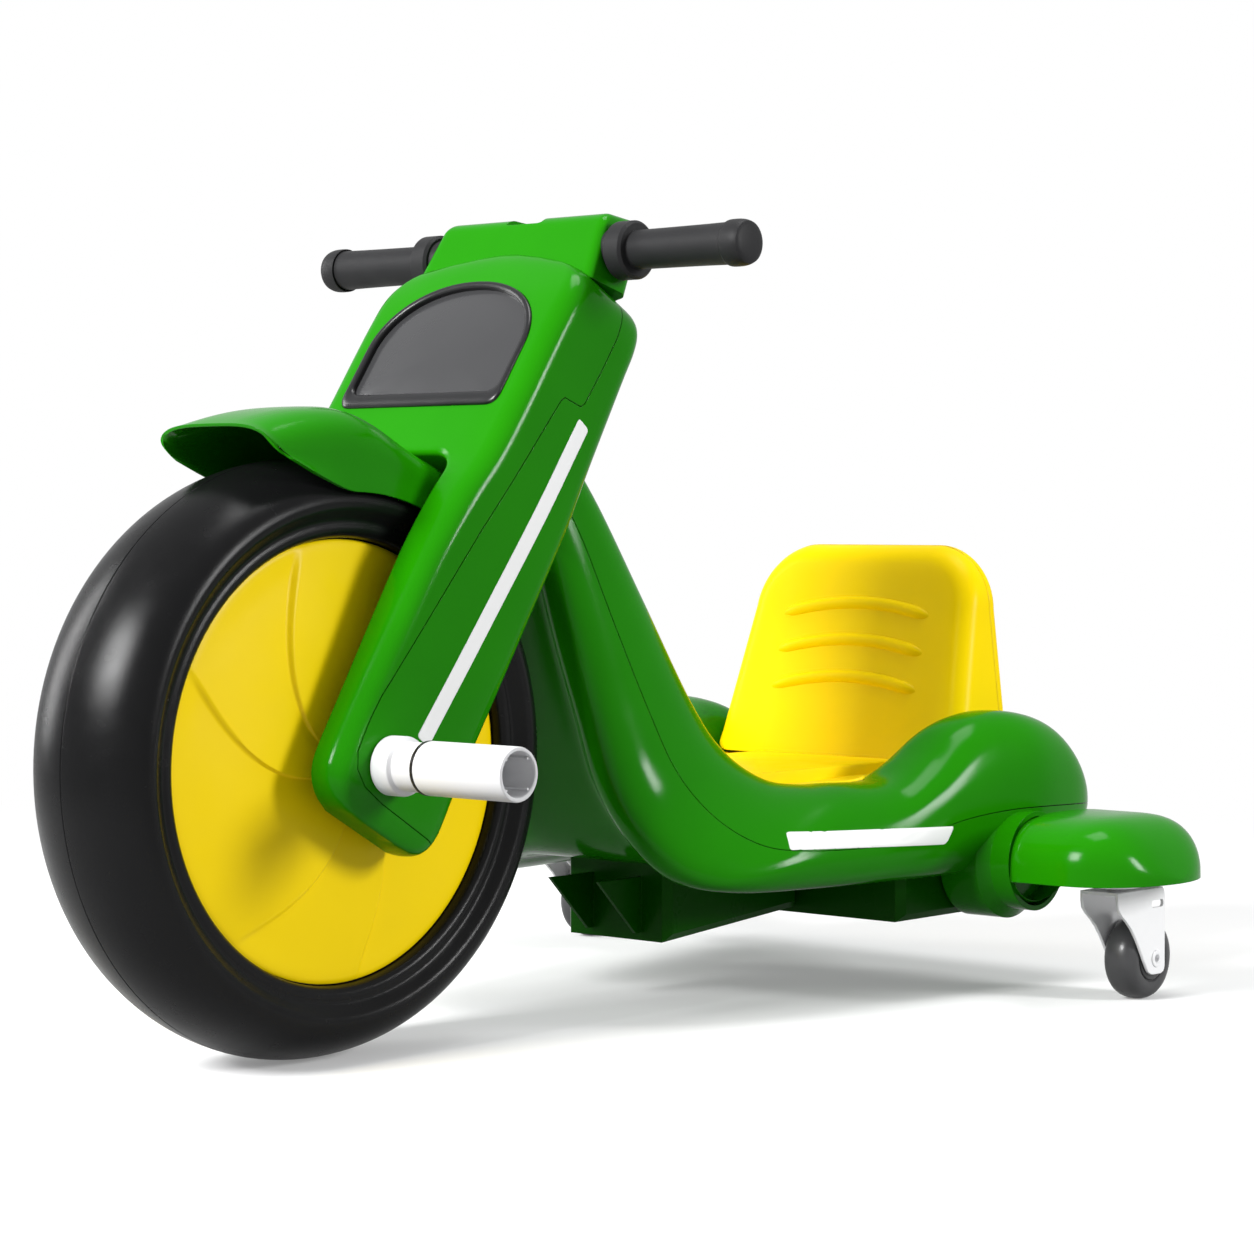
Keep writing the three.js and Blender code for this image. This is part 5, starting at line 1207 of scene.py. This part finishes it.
def castor_yoke(side, place, axle):
    rear, top = YOKE_REAR, YOKE_TOP
    outline = [
        (-20.5, top), (-20.5, 79), (-19.5, 73.5), (-15, 68.5), (-8.5, 63.5), (-2, 57.5), (4.5, 49.5),
        (10.5, 40.5), (16, 31.5), (20.2, 25), (22.5, 22), (26, 20.2), (30, 19.75), (rear - 5, 19.75),
        (rear - 1.6, 21.2), (rear, 24.6), (rear, top - 6), (rear - 1.2, top - 2), (rear - 4, top),
    ]
    fine = [
        (lerp(here[0], ahead[0], t / 3), lerp(here[1], ahead[1], t / 3))
        for here, ahead in zip(outline, outline[1:] + outline[:1]) for t in range(3)
    ]
    yoke = sheet(YOKE_HALF, YOKE_HALF - YOKE_WALL, fine, 0.4, place)
    under = top - YOKE_WALL
    plate = [(-20.5, top), (-20.5, under), (rear - 3, under), (rear - 3, top)]
    cut(yoke, sheet(-YOKE_HALF + 0.2, YOKE_HALF - 0.2, plate, 0.01, place), "UNION")
    cut(yoke, sheet(-YOKE_HALF, -YOKE_HALF + YOKE_WALL, fine, 0.4, place), "UNION")
    slot = [(26, 72.5), (27.5, 71), (41, 71), (42.5, 72.5), (42.5, 75), (41, 76.5), (27.5, 76.5), (26, 75)]
    for x in (YOKE_HALF, -YOKE_HALF):
        cut(yoke, sheet(x - 4, x + 4, slot, 0.01, place))
    cut(yoke, lathe(rod(4.3, 40), axle, "X", 24))
    cut(yoke, lathe([(0.01, 60), (5.3, 60), (5.3, 100), (0.01, 100)], place * MM, "Z", 24))
    finish_piece(yoke, 34, f"castor_yoke_{side}")


def castor(side, sign):
    """The yoke, the hollow rivet that is its axle, and the wheel."""
    place = Vector((sign * ARM_PIN, ARM_BACK - BODY_START, 0))
    axle = (place + Vector((0, CASTOR_TRAIL, CASTOR_RADIUS))) * MM
    castor_yoke(side, place, axle)
    head = [(2.9, 17.2), (3.4, 17.9), (4.6, 18.1), (6.2, 17.9), (6.8, 17.2), (4.1, 17.0)]
    finish_piece(lathe(both_ways(head), axle, "X", 40), 34, f"castor_axle_{side}")
    tread = [(31.75, 0), (31.7, 2.4), (31.4, 5), (30.7, 7.6), (29.5, 9.9), (27.8, 11.7), (25.6, 12.9),
             (22.8, 13.5), (19.2, 13.7), (18.2, 13.3), (17.6, 12.0), (16.9, 12.0), (16.4, 13.2), (15.4, 13.7),
             (9, 13.8), (7.4, 14.3), (4.3, 14.3)]
    finish_piece(lathe(both_ways(tread), axle, "X", 72), 34, f"castor_wheel_{side}")


# The nodes that are refined, and then the whole scene in its order

REFINED = [
    "wheel_rim", "grip_left", "grip_right", "arm_socket_left", "arm_socket_right",
    "castor_plate_left", "castor_plate_right",
    "cross_tube", "handlebar_tube", "head_block", "head_tube", "head_bush_upper", "head_bush_lower",
    "axle_spacer_left", "axle_spacer_right", "wheel_bush_left", "wheel_bush_right",
]

bpy.context.scene.view_settings.view_transform = "Standard"
make_camera()
make_world()
make_floor()
for lamp in LAMPS:
    make_area(*lamp)

body_skins()
deck_liner()
seat_back()
fork_shells()
white_strips()
window()
handlebar_cover()
mudguard()
tyre()
for side, sign in SIDES:
    wheel_cover(side, sign)
    peg(side, sign)
    castor_arm(side, sign)
    castor(side, sign)
for name in REFINED:
    refine(name)
for name, obj in nodes.items():
    if name not in REFINED and not obj.hide_render:
        dress(name)
